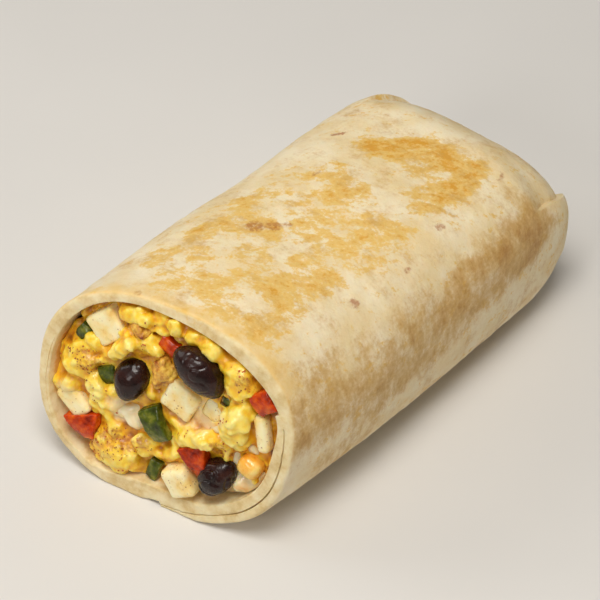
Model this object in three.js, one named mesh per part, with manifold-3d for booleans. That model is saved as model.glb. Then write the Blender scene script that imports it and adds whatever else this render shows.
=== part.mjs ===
// Half of a breakfast burrito: a flour tortilla rolled round a filling of scrambled egg, melted cheese,
// black beans, diced potato and peppers. The cut end faces -Y and leans back, the folded end faces +Y,
// and the burrito rests on its flap. Millimetres, +Z up.
import * as THREE from "three";
import { LoftGeometry } from "three/addons/geometries/LoftGeometry.js";
import { RoundedBoxGeometry } from "three/addons/geometries/RoundedBoxGeometry.js";
import { mergeVertices } from "three/addons/utils/BufferGeometryUtils.js";
import Module from "manifold-3d";

const wasm = await Module();
wasm.setup();

const degrees = THREE.MathUtils.degToRad;

// The roll. Values in a list hold at the cut, half way along and at the folded end.
const LENGTH = 105;
const HALF_WIDTH = [29, 29.8, 27.2];
const HEIGHT = [48, 43.4, 38];
const TOP_FULLNESS = [2.3, 3.1]; // 2 is an ellipse, and more is squarer
const BASE_FULLNESS = [2.35, 4];
const WIDEST_LINE = [0.5, 0.55]; // share of the height
const BASE_PRESSED = 1; // how far the round base is pressed flat
const BASE_EDGE = 0.6; // softness of the pressed base's edge

// The cut.
const CUT_LEAN = Math.tan(degrees(12.8)); // the top of the cut lies further back
const CUT_SKEW = Math.tan(degrees(11.8)); // and so does its right side

// The folded end.
const END_ROUND = 17.7;
const END_PLAN_FULLNESS = 5.5;
const END_SIDE_FULLNESS = 2;
const END_DIMPLE = 2.5;
const FOLD_STEP = 1.6; // how far one fold lies over the next
// Each fold's edge, and how far from it, and on which side of it, the skin under it dips.
const FOLDS = [
  { edge: 27, reach: 62, way: -1 },
  { edge: 133, reach: 70, way: 1 },
  { edge: 212, reach: 60, way: 1 },
  { edge: 305, reach: 55, way: 1 },
];

// The sheet of tortilla, which goes round once and then on under its own flap.
const SHEET = 2.1;
const FLAP_EDGE_SHEET = 0.65; // the flap thins towards its free edge
const ROLL_GAP = 0.25;
const FLAP_EDGE = degrees(-87); // angle of the free edge, under the burrito
const FLAP_LAP = degrees(110); // how far the flap covers the inner layer
const INNER_EDGE_SHARE = 0.4; // thickness of the inner layer at its own edge, as a share
const INNER_THINS = degrees(28); // and how far before that edge it begins to thin
const BEFORE_FLAP = degrees(40); // how far before the flap's edge the two layers begin
// Where pressed layers make the wall thicker: at an angle, how far either way, and how much.
const THICKER = [
  { at: 55, half: 55, more: 1.3 },
  { at: 160, half: 55, more: 1 },
];
const FLAP_THINS = degrees(24);
const STEP_EASES = degrees(6);
const END_SHEETS = 4.6; // folded layers at the closed end

// The filling.
const CLEARANCE = 0.3;
const FILLING_RECESS = 4.6; // below the cut, at the wall
const FILLING_CROWN = 2.6; // how much less in the middle
const CHEESE_RECESS = 2.9;
const CHEESE_ENDS = 24; // along Y
const EGG_TOLERANCE = 0.16; // how far the egg may move as it is made of fewer faces
const POCKET_TOLERANCE = 0.08; // and the pockets that the pieces lie in

const between = ([near, far], k) => near + (far - near) * k;
const through = ([near, middle, far], k) =>
  near * (1 - k) * (1 - 2 * k) + 4 * middle * k * (1 - k) + far * k * (2 * k - 1);
const eased = (t) => THREE.MathUtils.smoothstep(t, 0, 1);
const turnsOn = (angle) => THREE.MathUtils.euclideanModulo(angle, 2 * Math.PI);

// The y of the cut at a point of the section.
const cutY = (x, z) => -LENGTH / 2 + (z - HEIGHT[0] / 2) * CUT_LEAN + x * CUT_SKEW;
const onCut = (x, z, out = 0) => new THREE.Vector3(x, cutY(x, z) - out, z);

// Turns a thing that faces -Y so that it faces out of the cut.
const ACROSS_CUT = new THREE.Vector3(1, CUT_SKEW, 0).normalize();
const INTO_CUT = new THREE.Vector3(-CUT_SKEW, 1, -CUT_LEAN).normalize();
const UP_CUT = new THREE.Vector3().crossVectors(ACROSS_CUT, INTO_CUT);
const FACING = new THREE.Matrix4().makeBasis(ACROSS_CUT, INTO_CUT, UP_CUT);

// A point of the roll's section at share k of its length, a depth in from the skin.
function sectionPoint(k, angle, depth, scaleX = 1, scaleZ = 1) {
  const height = through(HEIGHT, k);
  const middle = height * between(WIDEST_LINE, k);
  const upper = Math.sin(angle) > 0;
  const power = 2 / between(upper ? TOP_FULLNESS : BASE_FULLNESS, k);
  const reach = (upper ? height - middle : middle + BASE_PRESSED) - depth;
  const [c, s] = [Math.cos(angle), Math.sin(angle)];
  const x = (through(HALF_WIDTH, k) - depth) * Math.sign(c) * Math.abs(c) ** power;
  const free = reach * Math.sign(s) * Math.abs(s) ** power + middle - depth;
  const pressed =
    free > BASE_EDGE ? free : Math.max(0, free + BASE_EDGE) ** 2 / (4 * BASE_EDGE);
  return [x * scaleX, middle + (pressed + depth - middle) * scaleZ];
}

// A gentle unevenness of the skin, nil where it rests.
function ripple(angle, y) {
  const swell =
    Math.sin(2 * angle + 0.09 * y + 0.6) + 0.7 * Math.sin(3 * angle - 0.13 * y + 2.1);
  const waist = 0.9 * Math.exp(-(((y + 2) / 24) ** 2)) * Math.max(0, Math.cos(angle - degrees(140)));
  return (0.22 * swell + waist) * eased((Math.sin(angle) + 0.75) / 0.6);
}

// How far the skin dips beside each fold's edge, on the closed end.
function foldDip(angle, share) {
  const dips = FOLDS.map(
    ({ edge, reach, way }) => 1 - turnsOn(way * (degrees(edge) - angle)) / degrees(reach),
  );
  return FOLD_STEP * Math.max(0, ...dips) ** 1.5 * eased(share * 2.2);
}

// A point of the skin, or of a surface a depth below it. Up to share 1 it runs from the cut to where
// the end begins to close, and from 1 to 2 over the closed end.
function skinPoint(angle, share, depth, { endDepth = depth, folds = 0, back = 0 } = {}) {
  const endStart = LENGTH / 2 - END_ROUND;
  if (share <= 1) {
    const [x0, z0] = sectionPoint(0, angle, depth);
    const start = cutY(x0, z0) + back;
    const y = start + (endStart - start) * share;
    const [x, z] = sectionPoint(Math.max(0, y / LENGTH + 0.5), angle, depth);
    return new THREE.Vector3(x, y, z);
  }
  const eta = Math.sin(((share - 1) * Math.PI) / 2) ** 0.8;
  const y = endStart + (END_ROUND - endDepth) * eta;
  const dip = folds * foldDip(angle, eta);
  const closing = (power) => Math.max(0, 1 - eta ** power) ** (1 / power);
  const [x, z] = sectionPoint(
    y / LENGTH + 0.5,
    angle,
    depth + dip * Math.sqrt(1 - eta * eta),
    closing(END_PLAN_FULLNESS),
    closing(END_SIDE_FULLNESS),
  );
  const dimple = folds * END_DIMPLE * eased((eta - 0.86) / 0.14);
  return new THREE.Vector3(x, y - dip * eta - dimple, z);
}

// How far the outer layer's skin eases in, just short of the flap's edge.
const stepIn = (angle) => {
  const ahead = turnsOn(FLAP_EDGE - angle);
  return (FLAP_EDGE_SHEET + ROLL_GAP) * eased(1 - ahead / STEP_EASES);
};
const flapThickness = (past) =>
  FLAP_EDGE_SHEET + (SHEET - FLAP_EDGE_SHEET) * eased(past / FLAP_THINS);

// Solids, joins and cuts.
function solidOf(geometry) {
  const bare = new THREE.BufferGeometry().copy(geometry);
  bare.deleteAttribute("normal");
  bare.deleteAttribute("uv");
  const merged = mergeVertices(bare, 1e-4);
  const triVerts = new Uint32Array(merged.index.array);
  const vertProperties = new Float32Array(merged.attributes.position.array);
  return new wasm.Manifold(new wasm.Mesh({ numProp: 3, vertProperties, triVerts }));
}

function geometryOf(solid) {
  const { vertProperties, triVerts } = solid.getMesh();
  const geometry = new THREE.BufferGeometry();
  geometry.setAttribute("position", new THREE.BufferAttribute(vertProperties, 3));
  geometry.setIndex(new THREE.BufferAttribute(triVerts, 1));
  geometry.computeVertexNormals();
  return geometry;
}

const largestBody = (solid) =>
  solid.decompose().reduce((a, b) => (a.volume() > b.volume() ? a : b));
const cutBy = (solid, others) => others.reduce((a, b) => a.subtract(b), solid);

// A closed skin through rings of points that run round the Y axis from +X towards +Z, with a fan of
// triangles over each end.
function loft(rings) {
  const around = rings[0].length;
  const middle = (ring) => ring.reduce((sum, p) => sum.add(p), new THREE.Vector3()).divideScalar(around);
  const points = [...rings.flat(), middle(rings[0]), middle(rings.at(-1))];
  const index = [];
  for (let row = 0; row < rings.length; row++) {
    for (let i = 0; i < around; i++) {
      const [a, b] = [row * around + i, row * around + ((i + 1) % around)];
      if (row === 0) index.push(points.length - 2, a, b);
      if (row === rings.length - 1) index.push(points.length - 1, b, a);
      else index.push(a, a + around, b, b, a + around, b + around);
    }
  }
  return solidOf(new THREE.BufferGeometry().setFromPoints(points).setIndex(index));
}

const steps = (count, from, to) =>
  Array.from({ length: count }, (_, i) => from + ((to - from) * i) / (count - 1));

// The tortilla.
function rolledBody() {
  const angles = [...steps(4, 0, 12), ...steps(52, 18, 346), ...steps(6, 350, 359.7)].map(
    (past) => FLAP_EDGE + degrees(past),
  );
  const shares = [...steps(9, 0, 1), ...steps(11, 1, 1.97).slice(1)];
  const rings = shares.map((share) =>
    angles.map((angle) => {
      const fade = share > 1 ? eased((1.6 - share) / 0.6) : 1;
      const depth = stepIn(angle) * fade + ripple(angle, share * LENGTH - LENGTH / 2) * fade;
      return skinPoint(angle, share, depth, { folds: 1, endDepth: 0 });
    }),
  );
  return loft(rings);
}

function hollow(extra = 0, back = -3) {
  const lapEnd = FLAP_EDGE + FLAP_LAP;
  const angles = steps(46, lapEnd, lapEnd + 2 * Math.PI - degrees(1));
  const wall = (angle) => {
    const past = turnsOn(angle - FLAP_EDGE);
    const under = INNER_EDGE_SHARE + (1 - INNER_EDGE_SHARE) * eased((FLAP_LAP - past) / INNER_THINS);
    const before = eased(1 - turnsOn(FLAP_EDGE - angle) / BEFORE_FLAP);
    const lapped = past < FLAP_LAP ? under : before;
    const bulges = THICKER.map(({ at, half, more }) => {
      const off = Math.abs(turnsOn(angle - degrees(at) + Math.PI) - Math.PI);
      return more * eased(1 - off / degrees(half));
    });
    return SHEET + (SHEET + ROLL_GAP) * lapped + bulges[0] + bulges[1] + extra;
  };
  return [...steps(6, 0, 1), ...steps(6, 1, 1.95).slice(1)].map((share) =>
    angles.map((angle) =>
      skinPoint(angle, share, wall(angle), { endDepth: END_SHEETS + extra, back }),
    ),
  );
}

// The thin gap between the flap and the layer under it.
function rollGap() {
  const angles = steps(14, degrees(-3), FLAP_LAP + degrees(3));
  const side = (share, gap) =>
    angles.map((past) =>
      skinPoint(FLAP_EDGE + past, share, flapThickness(Math.max(0, past)) + gap, { back: -3 }),
    );
  const rings = steps(6, 0, 0.94).map((share) => [...side(share, ROLL_GAP), ...side(share, 0).reverse()]);
  return solidOf(new LoftGeometry(rings, { capStart: true, capEnd: true }));
}

const tortilla = () => rolledBody().subtract(loft(hollow())).subtract(rollGap());

// Lumps that show at the cut: where, how long and wide, how turned, and how far they stand out.
const EGG_CURDS = [
  { at: [-8.7, 41.4], size: [9.5, 4.6], turn: 8, out: 0.5 },
  { at: [-0.1, 42.4], size: [5, 3.6], turn: 80, out: 0.8 },
  { at: [6.2, 41.6], size: [9, 3.2], turn: -8, out: 0.4 },
  { at: [14.2, 36], size: [11, 8], turn: -55, out: 1 },
  { at: [-10.1, 34], size: [10.2, 3.3], turn: 50, out: 1.8 },
  { at: [-5.2, 36.6], size: [8, 4], turn: -5, out: 0.8 },
  { at: [-21, 25.4], size: [10, 8.2], turn: 60, out: 0.6 },
  { at: [-15, 19.8], size: [10, 4.6], turn: 108, out: 0.6 },
  { at: [-23.4, 18.2], size: [9, 5], turn: 35, out: -0.6 },
  { at: [-10, 7], size: [14, 7.6], turn: 12, out: 0.8 },
  { at: [-3.7, 12.7], size: [6, 4.6], turn: 80, out: 1 },
  { at: [7.4, 19.4], size: [12.6, 4.4], turn: 27, out: 1.4 },
  { at: [2.6, 12.4], size: [7, 3.2], turn: 50, out: -0.4 },
  { at: [15.9, 26], size: [11, 6], turn: 80, out: 2 },
  { at: [13.3, 16.8], size: [6, 3.4], turn: 15, out: -1.5 },
  { at: [2.8, 19.9], size: [4.5, 3], turn: -10, out: -0.6 },
  { at: [-17.9, 31], size: [6, 4], turn: 30, out: 0 },
  { at: [-11.2, 35.5], size: [5, 4], turn: 60, out: -0.5 },
  { at: [-3.9, 25], size: [3.4, 3], turn: 60, out: -0.5 },
  { at: [17.8, 29], size: [4, 3], turn: 40, out: -1 },
  { at: [-12.7, 9.5], size: [7, 5], turn: 20, out: 0 },
];
const CHEESE_LUMPS = [
  { at: [-7.4, 17.2], size: [6, 3.4], turn: -50, out: -0.8 },
  { at: [-10.6, 17.6], size: [5, 4], turn: 60, out: -1.2 },
  { at: [11.6, 22], size: [5, 4], turn: 30, out: -1.4 },
  { at: [17.8, 11.4], size: [5, 4.4], turn: 50, out: -1.6 },
];

// Veins of melted cheese that run through the filling: where, and how wide and high.
const CHEESE_VEINS = [
  { at: [-8, 17], half: [5, 5.2], turn: 0.4 },
  { at: [9.2, 25], half: [4.2, 5], turn: 2.1 },
  { at: [17.6, 15.4], half: [4.4, 5.6], turn: 4.4 },
];

const knobs = (x, z) =>
  Math.sin(1.5 * x + 0.7 * z + 0.4) * Math.sin(1.6 * z - 0.6 * x + 1.9) +
  0.6 * Math.sin(2.6 * x - 1.1 * z + 2.7) * Math.sin(2.3 * z + 0.9 * x + 0.3);

// How far the filling stands out of the cut at a point, given its lumps and its level beside them.
function relief(x, z, lumps, level, knobbly) {
  const heights = lumps.map(({ at, size: [long, wide], turn, out }) => {
    const way = degrees(turn);
    const [dx, dz] = [x - at[0], z - at[1]];
    const along = Math.abs(dx * Math.cos(way) + dz * Math.sin(way)) - (long - wide) / 2;
    const across = dz * Math.cos(way) - dx * Math.sin(way);
    const off = Math.hypot(Math.max(0, along), across) / (wide / 2);
    return off < 1 ? out - (wide / 2) * (1 - Math.sqrt(1 - off * off)) : -Infinity;
  });
  return Math.max(level, ...heights) + knobbly * knobs(x, z);
}

function fillingCore() {
  const body = hollow(CLEARANCE, FILLING_RECESS);
  const [centreX, centreZ] = [0, HEIGHT[0] / 2];
  const crown = steps(13, 0.04, 0.985).map((scale) =>
    body[0].map(({ x, z }) => {
      const [sx, sz] = [centreX + (x - centreX) * scale, centreZ + (z - centreZ) * scale];
      const level = FILLING_CROWN * (1 - scale ** 2) - FILLING_RECESS;
      return onCut(sx, sz, relief(sx, sz, EGG_CURDS, level, 0.45));
    }),
  );
  return loft([...crown, ...body]);
}

function cheeseVein({ at, half, turn }, grow = 0) {
  const angles = steps(25, 0, 2 * Math.PI).slice(0, -1);
  const ring = (y, scale) =>
    angles.map((angle) => {
      const wave = 1 + 0.1 * Math.sin(2 * angle + turn) + 0.07 * Math.sin(3 * angle + 2 * turn);
      const x = at[0] + (half[0] * wave * scale + grow) * Math.cos(angle);
      const z = at[1] + (half[1] * wave * scale + grow) * Math.sin(angle);
      if (y !== undefined) return new THREE.Vector3(x, y, z);
      return onCut(x, z, relief(x, z, CHEESE_LUMPS, -CHEESE_RECESS, 0.1) + (grow ? 12 : 0));
    });
  const front = steps(6, 0.1, 1).map((scale) => ring(undefined, scale));
  const run = steps(3, -34, CHEESE_ENDS + grow).map((y) => ring(y, 1 - 0.2 * eased((y + 34) / 58)));
  return loft([...front, ...run]);
}

// A rounded lump with an uneven surface.
function lump(seed, rough) {
  const geometry = new THREE.IcosahedronGeometry(0.5, 2);
  const position = geometry.attributes.position;
  const point = new THREE.Vector3();
  for (let i = 0; i < position.count; i++) {
    point.fromBufferAttribute(position, i);
    const wave =
      Math.sin(6.2 * point.x + seed) * Math.cos(5.4 * point.y - 2 * seed) +
      Math.sin(8.6 * point.z + 1.7 * seed) * Math.cos(7.8 * point.x + 0.5 * seed);
    point.multiplyScalar(1 + rough * wave);
    position.setXYZ(i, point.x, point.y, point.z);
  }
  return geometry;
}

// Pieces in the filling. Each is made at the origin, facing -Y, a given amount larger all round, and
// is then turned and set at the cut.
const dice = ([width, height, depth], radius = 0.9) => (grow) =>
  new RoundedBoxGeometry(
    width + 2 * grow,
    depth + 2 * grow,
    height + 2 * grow,
    1,
    radius + grow,
  );

const bean = ([length, width]) => (grow) => {
  const geometry = new THREE.SphereGeometry(0.5, 14, 9).rotateZ(Math.PI / 2);
  const position = geometry.attributes.position;
  for (let i = 0; i < position.count; i++) {
    const [x, y, z] = [position.getX(i), position.getY(i), position.getZ(i)];
    const full = (1 - 0.1 * (2 * x) ** 2) * width + 2 * grow;
    const bend = 0.08 * (1 - (2 * x) ** 2) * width;
    position.setXYZ(i, x * (length + 2 * grow), y * 0.9 * full, z * full + bend);
  }
  return geometry;
};

// A bit of pepper wall, a slab that bows towards the cut and may narrow downwards.
const pepper = ([width, height, thick], bow = 0.5, taper = 0) => (grow) => {
  const [fullWidth, fullHeight, fullThick] = [width, height, thick].map((v) => v + 2 * grow);
  const geometry = new RoundedBoxGeometry(fullWidth, fullThick, fullHeight, 1, thick * 0.3 + grow);
  const position = geometry.attributes.position;
  for (let i = 0; i < position.count; i++) {
    const [x, z] = [position.getX(i), position.getZ(i)];
    position.setX(i, x * (1 - taper * (0.5 - z / height)));
    position.setY(i, position.getY(i) - bow * (1 - (2 * z) ** 2 / height ** 2) + 0.06 * x * z);
  }
  return geometry;
};

const crumb = ([width, height, depth], seed) => (grow) =>
  lump(seed, 0.2).scale(width + 2 * grow, depth + 2 * grow, height + 2 * grow);

const PIECES = {
  black_bean_1: { make: bean([10, 7.4]), at: [-7.5, 27], out: -1.2, turn: [-20, -75, 0] },
  black_bean_2: { make: bean([13, 8.2]), at: [6.8, 35.6], out: 0, turn: [0, 35, 5] },
  red_pepper_4: { make: pepper([6.4, 7.4, 3], 0.5, 0.55), at: [9.4, 14.6], out: -1.2, turn: [0, -28, 0] },
  black_bean_3: { make: bean([9.8, 7.2]), at: [14.2, 12.6], out: -0.8, turn: [0, -60, 12] },
  potato_1: { make: dice([7.7, 7.1, 5]), at: [-15.2, 36.3], out: -3.4, turn: [0, -43, 0] },
  potato_2: { make: dice([7.4, 7.2, 5.4]), at: [3.4, 26.8], out: -2.9, turn: [0, 20, 0] },
  potato_3: { make: dice([6.5, 6.9, 4.8], 1.2), at: [6.4, 8.5], out: -0.8, turn: [6, -30, 0] },
  potato_4: { make: dice([7.8, 5.2, 4.6], 1.2), at: [-20.4, 15.9], out: -2.9, turn: [0, 40, 0] },
  potato_5: { make: dice([3, 8.8, 3.4], 1.2), at: [21.6, 26.5], out: -2.2, turn: [0, -13, 0] },
  potato_6: { make: dice([4.6, 5, 4.6], 1.2), at: [10.2, 26.6], out: -4, turn: [0, 18, 0] },
  red_pepper_1: { make: pepper([4.2, 3.4, 2.4]), at: [-1, 37.8], out: -2.2, turn: [0, 20, 0] },
  red_pepper_2: { make: pepper([4.8, 5, 3]), at: [21.2, 34.2], out: -1.8, turn: [0, -42, 0] },
  red_pepper_3: { make: pepper([8.2, 5.4, 3.2], 0.5, 0.5), at: [-17, 11.5], out: -1.8, turn: [0, -20, 0] },
  green_pepper_1: { make: pepper([2.8, 4, 2.2]), at: [-20.5, 32.6], out: -3, turn: [0, 28, 0] },
  green_pepper_2: { make: pepper([4.6, 7.8, 2.4], 1), at: [-0.9, 19.3], out: -1, turn: [0, -33, 0] },
  green_pepper_3: { make: pepper([2.8, 5, 2.2]), at: [-0.6, 7.2], out: -2.6, turn: [0, 14, 0] },
  green_pepper_4: { make: pepper([4, 4.2, 2]), at: [-13.5, 25.2], out: -2.6, turn: [0, -30, 0] },
  green_pepper_5: { make: pepper([2.4, 2.4, 2]), at: [13, 29.8], out: -3.4, turn: [0, 12, 0] },
  cheddar_1: { make: dice([5.2, 4.8, 5], 1.8), at: [20, 17.4], out: -2.6, turn: [0, 20, 0] },
  browned_crumble_1: { make: crumb([4.6, 3.8, 3.4], 3), at: [-6.9, 39.6], out: -0.8, turn: [0, 10, 0] },
  browned_crumble_2: { make: crumb([4.6, 7.6, 3.6], 8), at: [-1.1, 31.6], out: -0.9, turn: [0, 12, 0] },
};

function placed({ make, at: [x, z], out, turn }, grow = 0) {
  const [rx, ry, rz] = turn.map(degrees);
  return make(grow)
    .applyMatrix4(new THREE.Matrix4().makeRotationFromEuler(new THREE.Euler(rx, ry, rz)))
    .translate(0, -out, 0)
    .applyMatrix4(FACING)
    .translate(...onCut(x, z));
}

// Looks.
const LOOKS = {
  tortilla: { color: "#e6d5ac", roughness: 0.75 },
  egg_filling: { color: "#f0c843", roughness: 0.5 },
  melted_cheese: { color: "#ecc88a", roughness: 0.3 },
  black_bean: { color: "#2a1d22", roughness: 0.25 },
  potato: { color: "#ecd9a2", roughness: 0.5 },
  red_pepper: { color: "#c8321a", roughness: 0.25 },
  green_pepper: { color: "#4d6b1c", roughness: 0.3 },
  cheddar: { color: "#f0b040", roughness: 0.35 },
  browned_crumble: { color: "#a8742e", roughness: 0.6 },
};

function part(name, solid) {
  const look = LOOKS[name.replace(/_\d+$/, "")];
  const material = new THREE.MeshStandardMaterial({ ...look, metalness: 0 });
  const mesh = new THREE.Mesh(geometryOf(solid), material);
  mesh.name = name;
  return mesh;
}

const names = Object.keys(PIECES);
const inside = loft(hollow(CLEARANCE, -8));
const pockets = names.map((name) => solidOf(placed(PIECES[name], CLEARANCE)).simplify(POCKET_TOLERANCE));
const pieces = names.map((name, i) =>
  largestBody(cutBy(solidOf(placed(PIECES[name])).intersect(inside), pockets.slice(0, i))),
);
const veins = CHEESE_VEINS.map((vein) => cheeseVein(vein).intersect(inside));
const channels = CHEESE_VEINS.map((vein) => cheeseVein(vein, CLEARANCE));
const cheeses = veins.map((vein) => largestBody(cutBy(vein, pockets)));
const egg = largestBody(cutBy(fillingCore(), [...channels, ...pockets]).simplify(EGG_TOLERANCE));

const burrito = new THREE.Group();
burrito.add(part("tortilla", tortilla()), part("egg_filling", egg));
cheeses.forEach((cheese, i) => burrito.add(part(`melted_cheese_${i + 1}`, cheese)));
names.forEach((name, i) => burrito.add(part(name, pieces[i])));

// The origin is under the middle of the burrito's box.
const box = new THREE.Box3().setFromObject(burrito);
const centre = box.getCenter(new THREE.Vector3());
burrito.position.set(-centre.x, -centre.y, -box.min.z);

export default burrito;
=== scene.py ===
"""Half of a breakfast burrito, cut open on scrambled egg, beans, potato, peppers and melted cheese.

The pieces are made in millimetres in the roll's own frame, where the cut faces -Y and the roll's middle is
at the origin, and are then set in the row frame in metres.
"""

import logging
import math
from collections.abc import Callable
from dataclasses import dataclass, field
from enum import Enum

import bmesh
import bpy
import numpy as np
from mathutils import Matrix, Vector, noise


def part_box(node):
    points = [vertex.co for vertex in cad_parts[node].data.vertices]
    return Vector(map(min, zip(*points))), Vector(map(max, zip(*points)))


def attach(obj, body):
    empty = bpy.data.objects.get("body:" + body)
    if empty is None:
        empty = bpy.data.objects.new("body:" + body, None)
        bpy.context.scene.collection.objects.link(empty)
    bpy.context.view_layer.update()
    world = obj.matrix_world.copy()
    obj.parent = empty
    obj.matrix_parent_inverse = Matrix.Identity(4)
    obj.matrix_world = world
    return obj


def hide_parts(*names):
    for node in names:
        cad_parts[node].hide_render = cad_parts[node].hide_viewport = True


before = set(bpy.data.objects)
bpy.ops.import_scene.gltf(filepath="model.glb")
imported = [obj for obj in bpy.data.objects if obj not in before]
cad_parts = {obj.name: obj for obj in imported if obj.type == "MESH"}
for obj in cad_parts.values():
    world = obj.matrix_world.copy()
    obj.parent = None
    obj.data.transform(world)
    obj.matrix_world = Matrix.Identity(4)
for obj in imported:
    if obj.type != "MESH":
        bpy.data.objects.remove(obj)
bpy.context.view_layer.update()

log = logging.getLogger("burrito")

BODY = "root"
MM = 0.001

Points = np.ndarray
Pair = tuple[float, float]
Triple = tuple[float, float, float]
Socket = bpy.types.NodeSocket
Value = Socket | float
Color = Socket | str

# How far a piece stays out of another one, in millimetres, and of how many that were set before it
POCKET = 0.1
NEIGHBOURS = 6

# Where the Mix node keeps its colours among its sockets
MIX_FIRST_COLOR = 6
MIX_OTHER_COLOR = 7
MIX_COLOR = 2

# How far out a mark reaches, in its half sizes, and over how much of that it fades
MARK_REACH = 1.5
MARK_FADE = 0.9

# How far a knob reaches from its middle, as a share of its size
KNOB_REACH = 0.72


def eased(value: np.ndarray | float) -> np.ndarray | float:
    """A smooth step from 0 to 1 over the values 0 to 1."""
    held = np.clip(value, 0.0, 1.0)
    return held * held * (3.0 - 2.0 * held)


def between(ends: Pair, share: np.ndarray | float) -> np.ndarray | float:
    """The value at a share of the way from the first of two ends to the second."""
    return ends[0] + (ends[1] - ends[0]) * share


def through(stations: Triple, share: np.ndarray | float) -> np.ndarray | float:
    """The value at a share of the roll's length, on a smooth curve through three stations."""
    near, middle, far = stations
    rising = far * share * (2 * share - 1)
    return near * (1 - share) * (1 - 2 * share) + 4 * middle * share * (1 - share) + rising


def turns_on(angle: np.ndarray | float) -> np.ndarray | float:
    """An angle brought into 0 to a full turn."""
    return np.mod(angle, 2 * math.pi)


def waves(points: Points, size: float, octaves: int = 2, seed: float = 0.0) -> np.ndarray:
    """Smooth noise of about -1 to 1 at each point.

    Args:
        points: The points, one to a row.
        size: About how long one swell is, in the points' own unit.
        octaves: How many layers of ever finer noise are summed.
        seed: Moves the pattern, so that two uses differ.

    Returns:
        One value for each point.
    """
    moved = points / size + seed
    return np.array([noise.fractal(Vector(p), 1.0, 2.0, octaves) for p in moved])


def knobs(points: Points, size: float, seed: float = 0.0) -> np.ndarray:
    """Rounded knobs packed side by side, from 0 between them to 1 on top, each of about the given size."""
    moved = points / size + seed
    nearest = np.array([noise.voronoi(Vector(p))[0][0] for p in moved])
    return np.clip(1 - (nearest / KNOB_REACH) ** 2, 0, 1)


@dataclass(frozen=True)
class Swell:
    """A layer of unevenness: its height and size in mm, its octaves, and a seed that moves its pattern."""

    height: float
    size: float
    octaves: int = 2
    seed: float = 0.0


def uneven(points: Points, *swells: Swell) -> np.ndarray:
    """The sum of several layers of unevenness at each point."""
    return sum(s.height * waves(points, s.size, s.octaves, s.seed) for s in swells)


def tumbled(middle: Vector, sizes: np.ndarray, rng: np.random.Generator) -> Matrix:
    """Takes a unit ball to a middle and to three half sizes, turned at random."""
    turn = Matrix.Rotation(rng.uniform(0, math.pi), 4, Vector(rng.normal(size=3)).normalized())
    return Matrix.Translation(middle) @ turn @ Matrix.Diagonal((*sizes, 1.0))


def along_roll(run: int, end: int, last: float = 1.95) -> np.ndarray:
    """Shares in a column: so many over the run, then so many on to the last over the closed end."""
    return np.concatenate([np.linspace(0, 1, run), np.linspace(1, last, end)[1:]])[:, None]


def linear(code: str) -> tuple[float, float, float, float]:
    """The linear colour of a hex code such as f0c843."""
    shares = [int(code[i : i + 2], 16) / 255 for i in (0, 2, 4)]
    red, green, blue = [v / 12.92 if v <= 0.04045 else ((v + 0.055) / 1.055) ** 2.4 for v in shares]
    return (red, green, blue, 1.0)


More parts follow.
